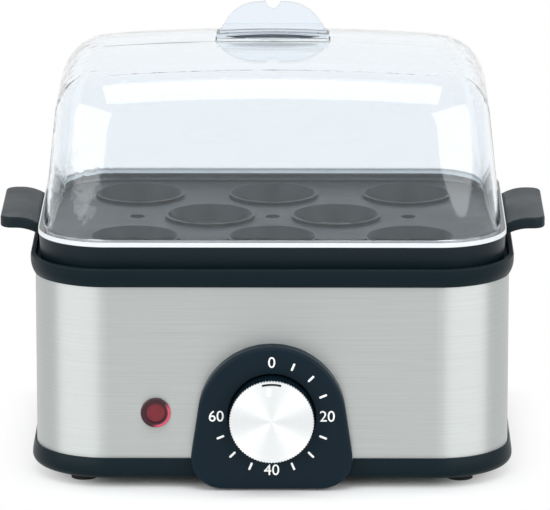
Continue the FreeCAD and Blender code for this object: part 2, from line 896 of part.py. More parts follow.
def make_tray():
    """Black tray: rim, deck with eight seats, locating skirt and two side handles."""
    low = inset(tray_outer, tray_rim_flare)
    rim = drafted(low, deck_top, tray_outer, tray_top)
    rim = rim.cut(prism(tray_inner, deck_top - cut_over, tray_top + cut_over))
    deck = prism(inset(tray_inner, -tray_rim_wall / 2), tray_deck_top - tray_deck, tray_deck_top)
    skirt_outer = inset(opening, tray_skirt_gap)
    skirt_low = deck_top - tray_skirt_reach
    skirt = frame(skirt_outer, inset(skirt_outer, tray_skirt_wall), skirt_low, tray_deck_top - hair)
    cups = []
    holes = []
    slope = (seat_mouth_radius - seat_foot_radius) / seat_depth
    for x, y in seat_places():
        foot = V(x, y, tray_deck_top - seat_depth)
        height = seat_depth + seat_lip
        cups.append(Part.makeCone(seat_foot_radius + seat_wall, seat_foot_radius + seat_wall + slope * height,
                                  height, foot))
        holes.append(Part.makeCone(seat_foot_radius - slope * cut_over,
                                   seat_foot_radius + slope * (height + cut_over),
                                   height + 2 * cut_over, foot - V(0, 0, cut_over)))
    for x in (-outer_seat_x, 0, outer_seat_x):
        holes.append(rod(steam_hole_radius, V(x, 0, tray_deck_top - tray_deck - cut_over), UP,
                         tray_deck + 2 * cut_over))
    body = fuse([rim, deck, skirt] + cups).cut(holes)
    return fuse([body, make_handle(-1), make_handle(1)])


def lid_block(shrink):
    """The lid's outer form with its crowned top and round shoulder, shrunk by an amount for its hollow."""
    below = cut_over if shrink else 0
    low = tray_top - below
    high = lid_top + cut_over
    half_w = lid_foot[0] - shrink + lid_side_slope * below
    half_d = lid_foot[1] - shrink + lid_front_slope * below
    foot = (half_w, half_d, lid_corner - shrink)
    side_lean = lid_side_slope * (high - low)
    front_lean = lid_front_slope * (high - low)
    head = (half_w - side_lean, half_d - front_lean, foot[2] - lid_corner_share * side_lean)
    body = drafted(foot, low, head, high)
    centre = V(0, 0, lid_top - crown_radius_across)
    crown = Part.makeTorus(crown_radius_across - crown_radius_deep, crown_radius_deep - shrink, centre, BACK)
    body = body.common(crown)
    top = max(body.Faces, key=lambda face: face.CenterOfMass.z)
    return body.makeFillet(lid_bend - shrink, top.Edges)


def boss_block(grow, low, high):
    """The handle's boss, just behind the middle of the lid."""
    half_depth = boss_depth / 2
    body = prism((boss_half_width + grow, half_depth + grow, boss_corner), low, high)
    body.translate(V(0, half_depth - boss_front, 0))
    return body


def make_lid():
    """Clear moulded lid with a flat flange, a spigot inside the tray's rim and a seat for its handle."""
    flange = prism(lid_flange, tray_top, flange_top)
    body = fuse([lid_block(0), flange])
    spigot_outer = inset(tray_inner, lid_spigot_gap)
    spigot = prism(spigot_outer, tray_top - lid_spigot, flange_top - hair)
    body = fuse([body, spigot])
    hollow = prism(inset(lid_foot, lid_wall), tray_top - lid_spigot - cut_over, tray_top)
    body = body.cut([lid_block(lid_wall), hollow])
    return body.cut(boss_block(hair, lid_top - boss_sink - cut_over, lid_top + cut_over))


def fin_face(y):
    """The fin's outline, a low half oval that stands on the boss."""
    pairs = [(fin_half_width * w, fin_height * h) for w, h in zip(fin_width_shares, fin_height_shares)]
    right = [V(w, y, boss_top + h) for w, h in pairs]
    left = [V(-w, y, boss_top + h) for w, h in reversed(pairs)]
    curve = Part.BSplineCurve()
    curve.interpolate(right + left)
    foot = V(0, 0, -boss_height / 2)
    ends = [right[0], left[-1]]
    return face_of([curve.toShape(), line(ends[1], ends[1] + foot), line(ends[1] + foot, ends[0] + foot),
                    line(ends[0] + foot, ends[0])])


def make_lid_handle():
    """Clear handle: a boss with a steam slot in its front, and a notched fin on a thicker foot."""
    body = boss_block(0, lid_top - boss_sink, boss_top)
    crown = rod(boss_crown_radius, V(0, -boss_depth, boss_top - boss_crown_radius), BACK, 3 * boss_depth)
    body = body.common(crown)
    fin = fin_face(fin_set_back).extrude(V(0, fin_thickness, 0))
    foot_y = fin_set_back - fin_step_proud
    foot = fin_face(foot_y).extrude(V(0, fin_thickness + 2 * fin_step_proud, 0))
    reach = boss_half_width + cut_over
    above = block((-reach, reach), (foot_y - cut_over, foot_y + boss_depth),
                  (boss_top + fin_step_height, boss_top + fin_height + cut_over))
    body = fuse([body, fin, foot.cut(above)])
    bottom = boss_top + fin_height - notch_depth + notch_half_width
    notch = rod(notch_half_width, V(0, foot_y, bottom), BACK, fin_thickness + 2 * fin_step_proud)
    gap = block((-notch_half_width, notch_half_width), (foot_y, foot_y + boss_depth),
                (bottom, bottom + fin_height))
    level = boss_top - slot_below_top
    y = -boss_front - cut_over
    left = V(-slot_half_length, y, level)
    right = V(slot_half_length, y, level)
    slot = face_of([
        arc(left, V(0, y, level + slot_half_height), right),
        arc(right, V(0, y, level - slot_half_height), left),
    ])
    slot = slot.extrude(V(0, cut_over + slot_reach, 0))
    channel_back = slot_reach - boss_front
    channel = block((-channel_half_length, channel_half_length), (channel_back - channel_width, channel_back),
                    (lid_top - boss_sink - cut_over, level))
    return body.cut([notch, gap, slot, channel])


def dial_wire(grow, y):
    """The dial plate's outline: a large round head whose sides run tangent to two round lower corners."""
    big = dial_radius + grow
    small = dial_corner + grow
    centre = V(0, y, axis_height - dial_head_drop)
    corner = V(dial_low_half - dial_corner, y, axis_height - dial_drop + dial_corner)
    span = corner - centre
    tilt = math.acos((big - small) / span.Length) + math.atan2(span.z, span.x)
    out = V(math.cos(tilt), 0, math.sin(tilt))
    head = centre + out * big
    side = corner + out * small
    half = (tilt - math.pi / 2) / 2
    bend = corner + V(math.cos(half), 0, math.sin(half)) * small
    foot = corner + V(0, 0, -small)

    def mirror(p):
        return V(-p.x, p.y, p.z)

    return Part.Wire([
        arc(mirror(head), centre + V(0, 0, big), head),
        line(head, side),
        arc(side, bend, foot),
        line(foot, mirror(foot)),
        arc(mirror(foot), mirror(bend), mirror(side)),
        line(mirror(side), mirror(head)),
    ])


def dial_prism(grow, y0, y1):
    """The dial plate's outline as a block from y0 to y1."""
    return Part.Face(dial_wire(grow, y0)).extrude(V(0, y1 - y0, 0))


def make_dial():
    """Black dial plate with soft front edges, a round well for the knob, and holes for shaft and screws."""
    body = dial_prism(0, dial_face, front_face)
    body = body.makeFillet(dial_edge, [e for e in body.Edges if e.BoundBox.YMax < dial_face + hair])
    start = V(0, dial_face - cut_over, axis_height)
    reach = dial_proud + 2 * cut_over
    cutters = [rod(well_radius, start, BACK, cut_over + well_depth), rod(hub_hole_radius, start, BACK, reach)]
    for side in (-1, 1):
        place = start + V(side * timer_screw_spread, 0, 0)
        cutters.append(rod(small_screw_radius + screw_gap, place, BACK, reach))
    return body.cut(cutters)


def make_timer_screws():
    """Two screws, hidden by the knob, that hold dial plate, sleeve and timer together."""
    length = case_front - well_floor
    return [screw(small_head_radius, small_head_height, small_screw_radius, length,
                  V(side * timer_screw_spread, well_floor, axis_height), BACK) for side in (-1, 1)]


def knurled(radius, y0, y1):
    """A disc with a row of small teeth round its edge."""
    points = []
    for i in range(2 * knob_teeth):
        angle = math.pi * i / knob_teeth
        r = radius - (i % 2) * knob_tooth
        points.append(V(r * math.sin(angle), y0, axis_height + r * math.cos(angle)))
    return polygon(points).extrude(V(0, y1 - y0, 0))


def d_bar(radius, y0, y1):
    """A round bar on the dial's axis with one flat."""
    bar = rod(radius, V(0, y0, axis_height), BACK, y1 - y0)
    flat = axis_height + shaft_radius - shaft_flat + (radius - shaft_radius)
    return bar.cut(block((-radius, radius), (y0, y1), (flat, flat + radius)))


def make_knob():
    """Black knurled knob barrel with a hub for the timer's shaft."""
    body = knurled(knob_radius, knob_front, knob_back)
    start = V(0, knob_front + knob_wall, axis_height)
    hollow = pipe(knob_radius - knob_tooth - knob_wall, knob_hub_radius, start, BACK, knob_back - knob_front)
    bore = d_bar(shaft_radius + hair, knob_back - shaft_in_knob, knob_back + cut_over)
    return body.cut([hollow, bore])


def make_cap():
    """Spun aluminium cap on the knob, with a raised rim and a curved slot near its top."""
    body = knurled(knob_radius, cap_front, knob_front)
    dish = rod(knob_radius - knob_tooth - cap_rim, V(0, cap_front - cut_over, axis_height), BACK,
               cut_over + cap_dish)
    angle = math.radians(arc_slot_half_angle)
    y = cap_front - cut_over
    rows = []
    for radius in (arc_slot_radius, arc_slot_radius - arc_slot_width):
        rows.append([V(radius * math.sin(i * angle), y, axis_height + radius * math.cos(i * angle))
                     for i in (-1, 0, 1)])
    outer, inner = rows
    slot = face_of([arc(*outer), line(outer[2], inner[2]), arc(*inner), line(inner[0], outer[0])])
    return body.cut([dish, slot.extrude(V(0, cut_over + cap_thickness + cut_over, 0))])


def make_pointer():
    """White pointer bar on the cap's face, under the slot."""
    high = axis_height + arc_slot_radius - arc_slot_width / 2 - pointer_drop
    face = cap_front + cap_dish
    return block((-pointer_side - pointer_width / 2, -pointer_side + pointer_width / 2),
                 (face - pointer_proud + hair, face), (high - pointer_length, high))


def gear(teeth, pitch, bore, centre, thickness, turn):
    """A spur wheel with straight-sided teeth, thinned for play, on an axis that runs front to back."""
    top = pitch + gear_module * tooth_top_share
    root = pitch - gear_module * tooth_root_share
    half = math.pi / 2 / teeth - gear_play / 2 / pitch
    lean = gear_module * tooth_slope_share / pitch
    corners = ((root, -half - lean * tooth_root_share), (top, -half + lean * tooth_top_share),
               (top, half - lean * tooth_top_share), (root, half + lean * tooth_root_share))
    points = []
    for i in range(teeth):
        at = turn + 2 * math.pi * i / teeth
        points += [centre + V(r * math.sin(at + a), 0, r * math.cos(at + a)) for r, a in corners]
    body = polygon(points).extrude(V(0, thickness, 0))
    return body.cut(rod(bore, centre - V(0, cut_over, 0), BACK, thickness + 2 * cut_over))


def make_shaft():
    """Timer shaft: flat-sided in the knob, round through the plate, thin at its tail."""
    front = d_bar(shaft_radius, knob_back - shaft_in_knob + fit_gap, knob_back)
    middle = rod(shaft_radius, V(0, knob_back, axis_height), BACK, wheel_front - knob_back)
    tail = rod(arbor_radius, V(0, wheel_front, axis_height), BACK, timer_back - wheel_front - hair)
    return fuse([front, middle, tail])


def make_wheel():
    """Main wheel of the timer, pressed on the shaft's tail."""
    return gear(wheel_teeth, wheel_pitch, arbor_radius, V(0, wheel_front, axis_height), wheel_thickness, 0)


def make_pinion():
    """Pinion with its arbor, in mesh with the main wheel straight above it."""
    front = wheel_front - (pinion_thickness - wheel_thickness) / 2
    body = gear(pinion_teeth, pinion_pitch, arbor_radius - hair, V(0, front, pinion_height), pinion_thickness,
                math.pi / pinion_teeth)
    low = timer_front + hair
    return fuse([body, rod(arbor_radius, V(0, low, pinion_height), BACK, timer_back - hair - low)])


def make_spring():
    """Flat mainspring coiled round the shaft, against the timer's front plate."""
    inner = shaft_radius + spring_bore_gap
    half = spring_strip / 2
    outside = []
    inside = []
    for i in range(spring_turns * spring_steps + 1):
        angle = 2 * math.pi * i / spring_steps
        r = inner + (spring_outer - inner) * i / (spring_turns * spring_steps)
        out = V(math.sin(angle), 0, math.cos(angle))
        centre = V(0, case_front, axis_height)
        outside.append(centre + out * (r + half))
        inside.append(centre + out * (r - half))
    return polygon(outside + inside[::-1]).extrude(V(0, spring_height, 0))


def make_timer_plate():
    """Steel front plate of the timer."""
    w = timer_half_width + timer_plate_margin
    h = timer_half_height
    body = block((-w, w), (timer_front, case_front), (axis_height - h, axis_height + h))
    start = V(0, timer_front - cut_over, axis_height)
    reach = timer_plate + 2 * cut_over
    cutters = [rod(shaft_radius + shaft_clear, start, BACK, reach),
               rod(arbor_radius + arbor_clear, V(0, start.y, pinion_height), BACK, reach)]
    cutters += [rod(small_screw_radius, start + V(side * timer_screw_spread, 0, 0), BACK, reach)
                for side in (-1, 1)]
    return body.cut(cutters)


def make_timer_case():
    """Moulded timer case behind the front plate, with pivot holes for both arbors."""
    w = timer_half_width
    h = timer_half_height
    t = timer_wall
    body = block((-w, w), (case_front, timer_back), (axis_height - h, axis_height + h))
    cutters = [block((t - w, w - t), (case_front - cut_over, timer_back - t),
                     (axis_height - h + t, axis_height + h - t))]
    for z in (axis_height, pinion_height):
        start = V(0, timer_back - t - cut_over, z)
        cutters.append(rod(arbor_radius + arbor_clear, start, BACK, t + 2 * cut_over))
    return body.cut(cutters)


def make_bell():
    """Bell cup on the back of the timer."""
    centre = V(0, timer_back, axis_height + bell_rise)
    rim = V(0, bell_wall, 0)
    cup = rod(bell_radius, centre + rim, BACK, bell_length)
    cup = cup.cut(rod(bell_radius - bell_wall, centre, BACK, bell_length))
    return fuse([cup, rod(bell_stem_radius, centre, BACK, bell_length)])


def make_blades():
    """Two switch terminals on top of the timer."""
    z = axis_height + timer_half_height
    return [block((side * blade_spread - blade_width / 2, side * blade_spread + blade_width / 2),
                  (blade_y - blade_sheet / 2, blade_y + blade_sheet / 2), (z, z + blade_length))
            for side in (-1, 1)]


def make_lens():
    """Red lamp lens with a dished face and a hollow body."""
    start = V(-lamp_side, front_face - lens_proud, axis_height)
    head = rod(lens_radius, start, BACK, lens_proud)
    head = head.makeFillet(lens_round, [e for e in head.Edges if e.BoundBox.YMax < start.y + hair])
    middle = start + V(0, lens_proud / 2, 0)
    body = fuse([head, rod(lens_body_radius, middle, BACK, lens_proud / 2 + lens_length)])
    dish = rod(lens_dish_radius, start - V(0, cut_over, 0), BACK, cut_over + lens_dish_depth)
    floor = start + V(0, lens_proud + lens_wall, 0)
    bore = rod(lens_body_radius - lens_wall, floor, BACK, lens_length + cut_over)
    return body.cut([dish, bore])


def make_lamp_ring():
    """Push-on ring behind the sleeve that holds the lens."""
    start = V(-lamp_side, timer_front, axis_height)
    return pipe(lamp_ring_radius, lens_body_radius, start, BACK, lamp_ring_thickness)


def make_bulb():
    """Neon bulb inside the lens."""
    end = V(-lamp_side, front_face + lens_length, axis_height)
    tip = end + FRONT * bulb_length
    return fuse([rod(bulb_radius, end, FRONT, bulb_length), Part.makeSphere(bulb_radius, tip)])


def make_lamp_cap():
    """Black cap that closes the lens and carries the bulb."""
    end = V(-lamp_side, front_face + lens_length, axis_height)
    plug = pipe(lens_body_radius - lens_wall, bulb_radius, end + FRONT * lens_wall, BACK, lens_wall)
    return fuse([rod(lens_body_radius, end, BACK, lamp_cap_length), plug])


def make_gland():
    """Cord gland in the back of the sleeve: a flanged bush with a through bore."""
    face = V(gland_side, sleeve_half_depth, gland_height)
    inside = gland_length - gland_flange
    body = fuse([rod(gland_body_radius, face + FRONT * inside, BACK, inside),
                 rod(gland_flange_radius, face, BACK, gland_flange)])
    return body.cut(rod(gland_bore_radius, face + FRONT * gland_length, BACK, 2 * gland_length))


def pole_x(i):
    """The middle of one pole of the terminal block, counted from the left."""
    return -block_side + (i - (block_poles - 1) / 2) * block_length / block_poles


def make_block():
    """Terminal block on the base's floor, with a wire hole and a screw hole for each pole."""
    x = (-block_side - block_length / 2, -block_side + block_length / 2)
    y = (block_set_back - block_depth / 2, block_set_back + block_depth / 2)
    body = block(x, y, (base_inside, base_inside + block_height))
    cutters = []
    for i in range(block_poles):
        cutters.append(rod(wire_radius + hair, V(pole_x(i), y[0] - cut_over, block_level), BACK,
                           block_depth + 2 * cut_over))
        cutters.append(rod(block_screw_radius, V(pole_x(i), block_set_back, block_level), UP, block_height))
    return body.cut(cutters)


def make_block_screws():
    """Clamping screws of the terminal block."""
    low = block_level + wire_radius + hair
    high = base_inside + block_height - block_screw_drop
    screws = []
    for i in range(block_poles):
        x = pole_x(i)
        body = rod(block_screw_radius, V(x, block_set_back, low), UP, high - low)
        slot = block((x - block_screw_radius, x + block_screw_radius),
                     (block_set_back - slot_width / 2, block_set_back + slot_width / 2),
                     (high - slot_depth, high))
        screws.append(body.cut(slot))
    return screws


def block_end(i):
    """Where a wire ends inside the terminal block."""
    return V(pole_x(i), block_set_back + block_wire_reach, block_level)


def make_line_wire():
    """Wire from the terminal block to the timer's left terminal."""
    end = V(-blade_spread - push_half_width, blade_y, blade_level)
    start = block_end(0)
    points = [start, V(start.x, blade_y, start.z), V(-wire_front_side, blade_y, start.z),
              V(-wire_front_side, blade_y, end.z), end]
    return tube(points, wire_radius, wire_front_side)


def push_reach():
    """How far the far end of a push-on terminal on the thermostat lies from the middle."""
    return thermostat_radius + tab_length + push_wall


def make_switched_wire():
    """Wire from the timer's right terminal to the thermostat."""
    start = V(blade_spread + push_half_width, blade_y, blade_level)
    end = V(push_reach(), 0, tab_level)
    side = wire_front_side
    points = [start, V(side, blade_y, start.z), V(side, blade_y, end.z), V(side, 0, end.z), end]
    return tube(points, wire_radius, wire_front_side)


def pin_end(side):
    """Where a wire meets the push-on terminal on a heater pin."""
    low = heater_level - heater_drop - pin_length - push_wall
    return V(side * heater_end_side, heater_half_depth, low)


def make_thermostat_wire():
    """Wire from the thermostat to the heater's left pin."""
    start = V(-push_reach(), 0, tab_level)
    end = pin_end(-1)
    points = [start, V(end.x, 0, start.z), V(end.x, 0, wire_low_level), V(end.x, end.y, wire_low_level), end]
    return tube(points, wire_radius, wire_front_side)


def make_fuse_wire():
    """Wire from the fuse to the heater's right pin."""
    end = pin_end(1)
    y = fuse_sleeve_length / 2 + wire_side_reach
    points = [V(fuse_side, fuse_length / 2, fuse_level), V(fuse_side, y, fuse_level),
              V(fuse_side, y, wire_low_level), V(end.x, end.y, wire_low_level), end]
    return tube(points, wire_radius, wire_front_side)


def make_neutral_wire():
    """Wire from the fuse to the terminal block."""
    end = block_end(1)
    y = -fuse_sleeve_length / 2 - wire_side_reach
    points = [V(fuse_side, -fuse_length / 2, fuse_level), V(fuse_side, y, fuse_level), V(fuse_side, y, end.z),
              V(end.x, y, end.z), end]
    return tube(points, wire_radius, wire_front_side)


def make_earth_wire():
    """Earth wire from the ring tag to the terminal block."""
    end = block_end(2)
    level = spreader_under - strap_sheet - tag_sheet / 2 - hair
    x = -tag_length - wire_cross_gap
    points = [V(-tag_length, stud_from_middle, level), V(x, stud_from_middle, level),
              V(x, stud_from_middle, end.z), V(end.x, stud_from_middle, end.z), end]
    return tube(points, wire_radius, wire_front_side)


def splice_level():
    """The height of the lamp's lead above the terminal block's wires, inside the splice."""
    return block_level + wire_radius + lead_radius + fit_gap + hair


def make_lamp_leads():
    """Two thin leads: one to the timer's right terminal, one to the splice."""
    back = front_face + lens_length + lamp_cap_length
    y = back + lead_back_run
    x = -lamp_side + lead_spread
    first = [V(x, back, axis_height), V(x, y, axis_height), V(x, y, lead_level),
             V(blade_spread, y, lead_level), V(blade_spread, blade_y + push_half_height, lead_level)]
    x = -lamp_side - lead_spread
    y = back + lead_down_run
    low = splice_level()
    second = [V(x, back, axis_height), V(x, y, axis_height), V(x, y, low), V(pole_x(1), y, low),
              V(pole_x(1), splice_set_back + splice_length / 2, low)]
    return [tube(first, lead_radius, wire_front_side), tube(second, lead_radius, wire_front_side)]


def make_splice():
    """Crimped sleeve that joins the lamp's lead to the neutral wire."""
    low = block_level - wire_radius
    high = splice_level() + lead_radius
    inner = (high - low) / 2 + hair
    start = V(pole_x(1), splice_set_back, (low + high) / 2)
    return pipe(inner + splice_wall, inner, start, BACK, splice_length)


def make_push_terminals():
    """Push-on terminals on the timer's blades, the thermostat's tabs and the heater's pins."""
    terminals = []
    low = axis_height + timer_half_height + push_wall
    for side in (-1, 1):
        x = side * blade_spread
        shell = block((x - push_half_width, x + push_half_width),
                      (blade_y - push_half_height, blade_y + push_half_height), (low, low + push_length))
        blade = block((x - blade_width / 2, x + blade_width / 2),
                      (blade_y - blade_sheet / 2, blade_y + blade_sheet / 2),
                      (low - cut_over, axis_height + timer_half_height + blade_length))
        terminals.append(shell.cut(blade))
        inner = push_reach() - push_length
        shell = block((side * inner, side * push_reach()), (-push_half_width, push_half_width),
                      (tab_level - push_half_height, tab_level + push_half_height))
        tab = block((0, side * (thermostat_radius + tab_length)), (-tab_width / 2, tab_width / 2),
                    (thermostat_low, thermostat_low + tab_sheet))
        terminals.append(shell.cut(tab))
        end = pin_end(side)
        shell = rod(pin_radius + push_wall, end, UP, push_length)
        terminals.append(shell.cut(rod(pin_radius, end + V(0, 0, push_wall), UP, push_length)))
    return terminals


os.makedirs("parts", exist_ok=True)
save("foot_pads", make_feet())
save("base_moulding", make_base())
sleeve_front, sleeve_back = make_sleeve()
save("sleeve_front", sleeve_front)
save("sleeve_back", sleeve_back)
save("collar", make_collar())
save("tie_screws", make_tie_screws())
save("water_bowl", make_bowl())
save("bowl_seal", make_seal())
save("bowl_clips", make_clips())
save("bowl_clip_screws", make_clip_screws())
save("heat_spreader", make_spreader())
save("heater_element", make_heater())
save("heater_pins", make_heater_pins())
save("thermostat", make_thermostat())
save("thermostat_strap", make_strap())
save("strap_nuts", make_strap_nuts())
save("earth_tag", make_earth_tag())
save("thermal_fuse", make_fuse())
save("fuse_sleeve", make_fuse_sleeve())
save("fuse_clip", make_fuse_clip())
save("seat_tray", make_tray())
save("lid_shell", make_lid())
save("lid_handle", make_lid_handle())
save("dial_plate", make_dial())
save("timer_screws", make_timer_screws())
save("knob_barrel", make_knob())
save("knob_cap", make_cap())
save("knob_pointer", make_pointer())
save("timer_shaft", make_shaft())
save("timer_wheel", make_wheel())
save("timer_pinion", make_pinion())
save("timer_mainspring", make_spring())
save("timer_front_plate", make_timer_plate())
save("timer_case", make_timer_case())
save("timer_bell", make_bell())
save("timer_blades", make_blades())
save("lamp_lens", make_lens())
save("lamp_ring", make_lamp_ring())
save("neon_bulb", make_bulb())
save("lamp_cap", make_lamp_cap())
save("cord_gland", make_gland())
save("terminal_block", make_block())
save("terminal_screws", make_block_screws())
save("line_wire", make_line_wire())
save("switched_wire", make_switched_wire())
save("thermostat_wire", make_thermostat_wire())
save("fuse_wire", make_fuse_wire())
save("neutral_wire", make_neutral_wire())
save("earth_wire", make_earth_wire())
save("lamp_leads", make_lamp_leads())
save("wire_splice", make_splice())
save("push_terminals", make_push_terminals())
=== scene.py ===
# Household egg boiler, dressed for its picture.
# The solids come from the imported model. This script gives them their finishes and adds the dial's
# printed marks.
import math

import bpy
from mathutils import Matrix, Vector


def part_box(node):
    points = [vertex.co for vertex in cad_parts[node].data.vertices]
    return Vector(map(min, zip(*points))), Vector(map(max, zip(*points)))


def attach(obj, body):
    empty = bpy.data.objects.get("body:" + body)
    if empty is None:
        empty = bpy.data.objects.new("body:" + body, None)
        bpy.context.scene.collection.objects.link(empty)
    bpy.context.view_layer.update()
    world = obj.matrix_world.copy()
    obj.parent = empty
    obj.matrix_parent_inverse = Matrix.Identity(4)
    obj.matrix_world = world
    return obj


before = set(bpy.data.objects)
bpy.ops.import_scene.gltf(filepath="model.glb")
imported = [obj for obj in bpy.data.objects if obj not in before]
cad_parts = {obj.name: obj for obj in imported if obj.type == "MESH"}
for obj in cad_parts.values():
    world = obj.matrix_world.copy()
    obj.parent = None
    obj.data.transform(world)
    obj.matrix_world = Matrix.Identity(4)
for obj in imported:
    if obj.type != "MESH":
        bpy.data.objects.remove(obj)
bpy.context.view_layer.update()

# Base, collar, tray, cord gland and lamp cap: black ABS, injection-moulded in spark-etched tools, so
# the sheen is satin and a little uneven. Four long screws clamp the base and the collar on the sleeve,
# and the tray rests in the collar's rebate.
MM = 0.001
black_abs_hex = "#0a1a20"
etch_grain = 0.35 * MM
etch_height = 0.0015 * MM
sheen_patch = 18 * MM
noise_low = 0.3
noise_high = 0.7
half_strength = 0.5
tint_shares = (0.94, 1.12)
sheen_shares = (0.9, 1.12)


def linear(hex_colour):
    """A linear colour from an sRGB hex value."""
    parts = [int(hex_colour[i:i + 2], 16) / 255 for i in (1, 3, 5)]
    return [c / 12.92 if c <= 0.04045 else ((c + 0.055) / 1.055) ** 2.4 for c in parts] + [1.0]


def shade(hex_colour, share):
    """A linear colour from an sRGB hex value, made lighter or darker by a share."""
    return [min(1.0, c * share) for c in linear(hex_colour)[:3]] + [1.0]


def add_node(tree, kind, inputs=(), **settings):
    """Adds one node; inputs maps a socket's name or number to a value or to another node's output."""
    node = tree.nodes.new(kind)
    for name, value in settings.items():
        setattr(node, name, value)
    for name, value in dict(inputs).items():
        if isinstance(value, bpy.types.NodeSocket):
            tree.links.new(value, node.inputs[name])
        else:
            node.inputs[name].default_value = value
    return node


def new_material(name):
    """An empty node material and its tree."""
    material = bpy.data.materials.new(name)
    material.use_nodes = True
    material.node_tree.nodes.clear()
    return material, material.node_tree


def close_material(tree, shader):
    """Sends a shader to the material's output."""
    add_node(tree, "ShaderNodeOutputMaterial", {"Surface": shader.outputs[0]})


def dress(material, *names):
    """Gives CAD nodes a material."""
    for name in names:
        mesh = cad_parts[name].data
        mesh.materials.clear()
        mesh.materials.append(material)


def moulded_plastic(name, hex_colour, roughness, grain, height, specular=0.5):
    """Moulded plastic: even colour, faint patches in its sheen, and an etched grain."""
    material, tree = new_material(name)
    place = add_node(tree, "ShaderNodeTexCoord").outputs["Object"]
    fine = add_node(tree, "ShaderNodeTexNoise", {"Vector": place, "Scale": 1 / grain, "Detail": 3.0})
    broad = add_node(tree, "ShaderNodeTexNoise", {"Vector": place, "Scale": 1 / sheen_patch, "Detail": 2.0})
    rough = add_node(tree, "ShaderNodeMapRange", {
        "Value": broad.outputs["Fac"], "From Min": noise_low, "From Max": noise_high,
        "To Min": roughness * sheen_shares[0], "To Max": roughness * sheen_shares[1]})
    tint = add_node(tree, "ShaderNodeMix", {
        "Factor": fine.outputs["Fac"], "A": shade(hex_colour, tint_shares[0]),
        "B": shade(hex_colour, tint_shares[1])}, data_type="RGBA")
    bump = add_node(tree, "ShaderNodeBump", {
        "Height": fine.outputs["Fac"], "Distance": height, "Strength": half_strength})
    shader = add_node(tree, "ShaderNodeBsdfPrincipled", {
        "Base Color": tint.outputs["Result"], "Roughness": rough.outputs["Result"],
        "Specular IOR Level": specular, "IOR": 1.53, "Normal": bump.outputs["Normal"]})
    close_material(tree, shader)
    return material


black_abs = moulded_plastic(
    "black_abs_etched", black_abs_hex, roughness=0.38, grain=etch_grain, height=etch_height, specular=0.09)
dress(black_abs, "base_moulding", "collar", "cord_gland", "lamp_cap")
tray_abs = moulded_plastic(
    "tray_black_abs", black_abs_hex, roughness=0.4, grain=etch_grain, height=etch_height / 2, specular=0.17)
dress(tray_abs, "seat_tray")

# Feet: four pads of black rubber, compression-moulded with a short stem that is pushed into a hole of
# the base. Their skin is matt and faintly dusty.
foot_rubber = moulded_plastic(
    "black_foot_rubber", "#1b1b1c", roughness=0.8, grain=0.5 * MM, height=0.01 * MM, specular=0.3)
dress(foot_rubber, "foot_pads")

# Sleeve: two thin stainless sheets, belt-brushed along their length, then bent round and tucked into
# grooves of the base and the collar. The grain is a quarter of a millimetre in life and is drawn
# twice as coarse, so that it shows.
steel_hex = "#c0c4c3"
brush_line = 0.5 * MM
brush_stroke = 60 * MM
brush_height = 0.004 * MM
brush_tint_shares = (0.74, 1.26)
brush_sheen_shares = (0.85, 1.2)
quarter_turn = 0.25


def brushed_sheet(name, hex_colour, roughness, line, stroke, axis, stretch):
    """Sheet metal with fine marks across an axis, and with reflections that are stretched up and down."""
    material, tree = new_material(name)
    place = add_node(tree, "ShaderNodeTexCoord").outputs["Object"]
    scale = [1 / stroke] * 3
    scale["XYZ".index(axis)] = 1 / line
    grain_place = add_node(tree, "ShaderNodeMapping", {"Vector": place, "Scale": scale})
    grain = add_node(tree, "ShaderNodeTexNoise", {
        "Vector": grain_place.outputs["Vector"], "Scale": 1.0, "Detail": 5.0, "Roughness": 0.7})
    colour = add_node(tree, "ShaderNodeMix", {
        "Factor": grain.outputs["Fac"], "A": shade(hex_colour, brush_tint_shares[0]),
        "B": shade(hex_colour, brush_tint_shares[1])}, data_type="RGBA")
    rough = add_node(tree, "ShaderNodeMapRange", {
        "Value": grain.outputs["Fac"], "From Min": noise_low, "From Max": noise_high,
        "To Min": roughness * brush_sheen_shares[0], "To Max": roughness * brush_sheen_shares[1]})
    bump = add_node(tree, "ShaderNodeBump", {
        "Height": grain.outputs["Fac"], "Distance": brush_height, "Strength": half_strength})
    along = add_node(tree, "ShaderNodeTangent", direction_type="RADIAL", axis="Z")
    shader = add_node(tree, "ShaderNodeBsdfPrincipled", {
        "Base Color": colour.outputs["Result"], "Metallic": 1.0, "Roughness": rough.outputs["Result"],
        "Anisotropic": stretch, "Anisotropic Rotation": quarter_turn, "Tangent": along.outputs["Tangent"],
        "Normal": bump.outputs["Normal"]})
    close_material(tree, shader)
    return material


brushed_stainless = brushed_sheet(
    "brushed_stainless", steel_hex, roughness=0.46, line=brush_line, stroke=brush_stroke, axis="Z",
    stretch=0.9)
dress(brushed_stainless, "sleeve_front", "sleeve_back")

# Lid: clear polystyrene, faintly blue, moulded with polished faces, and its rim's edge left frosted.
# Light from the lamps passes through it, because a clear wall casts hardly any shadow. Where the
# handle is bonded into its top, the joined faces don't show.
clear_hex = "#f8fcff"
shadow_hex = "#f9fbfc"
frost_hex = "#dde2e5"
frost_grain = 0.6 * MM
frost_shares = (0.94, 1.05)
ripple_size = 22 * MM
ripple_height = 0.02 * MM
haze_size = 9 * MM
polish = 0.012
bond_margin = 0.4 * MM
bond_top_gap = 0.02 * MM
hair = 0.01 * MM
boss_sunk = 3.0 * MM
boss_half_width = 24.0 * MM
boss_depth = 11.0 * MM
rim_edge = 0.4 * MM
rim_corner = 29.3 * MM
lid_low, lid_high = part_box("lid_shell")
handle_low, handle_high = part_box("lid_handle")
lid_level = handle_low.z + boss_sunk


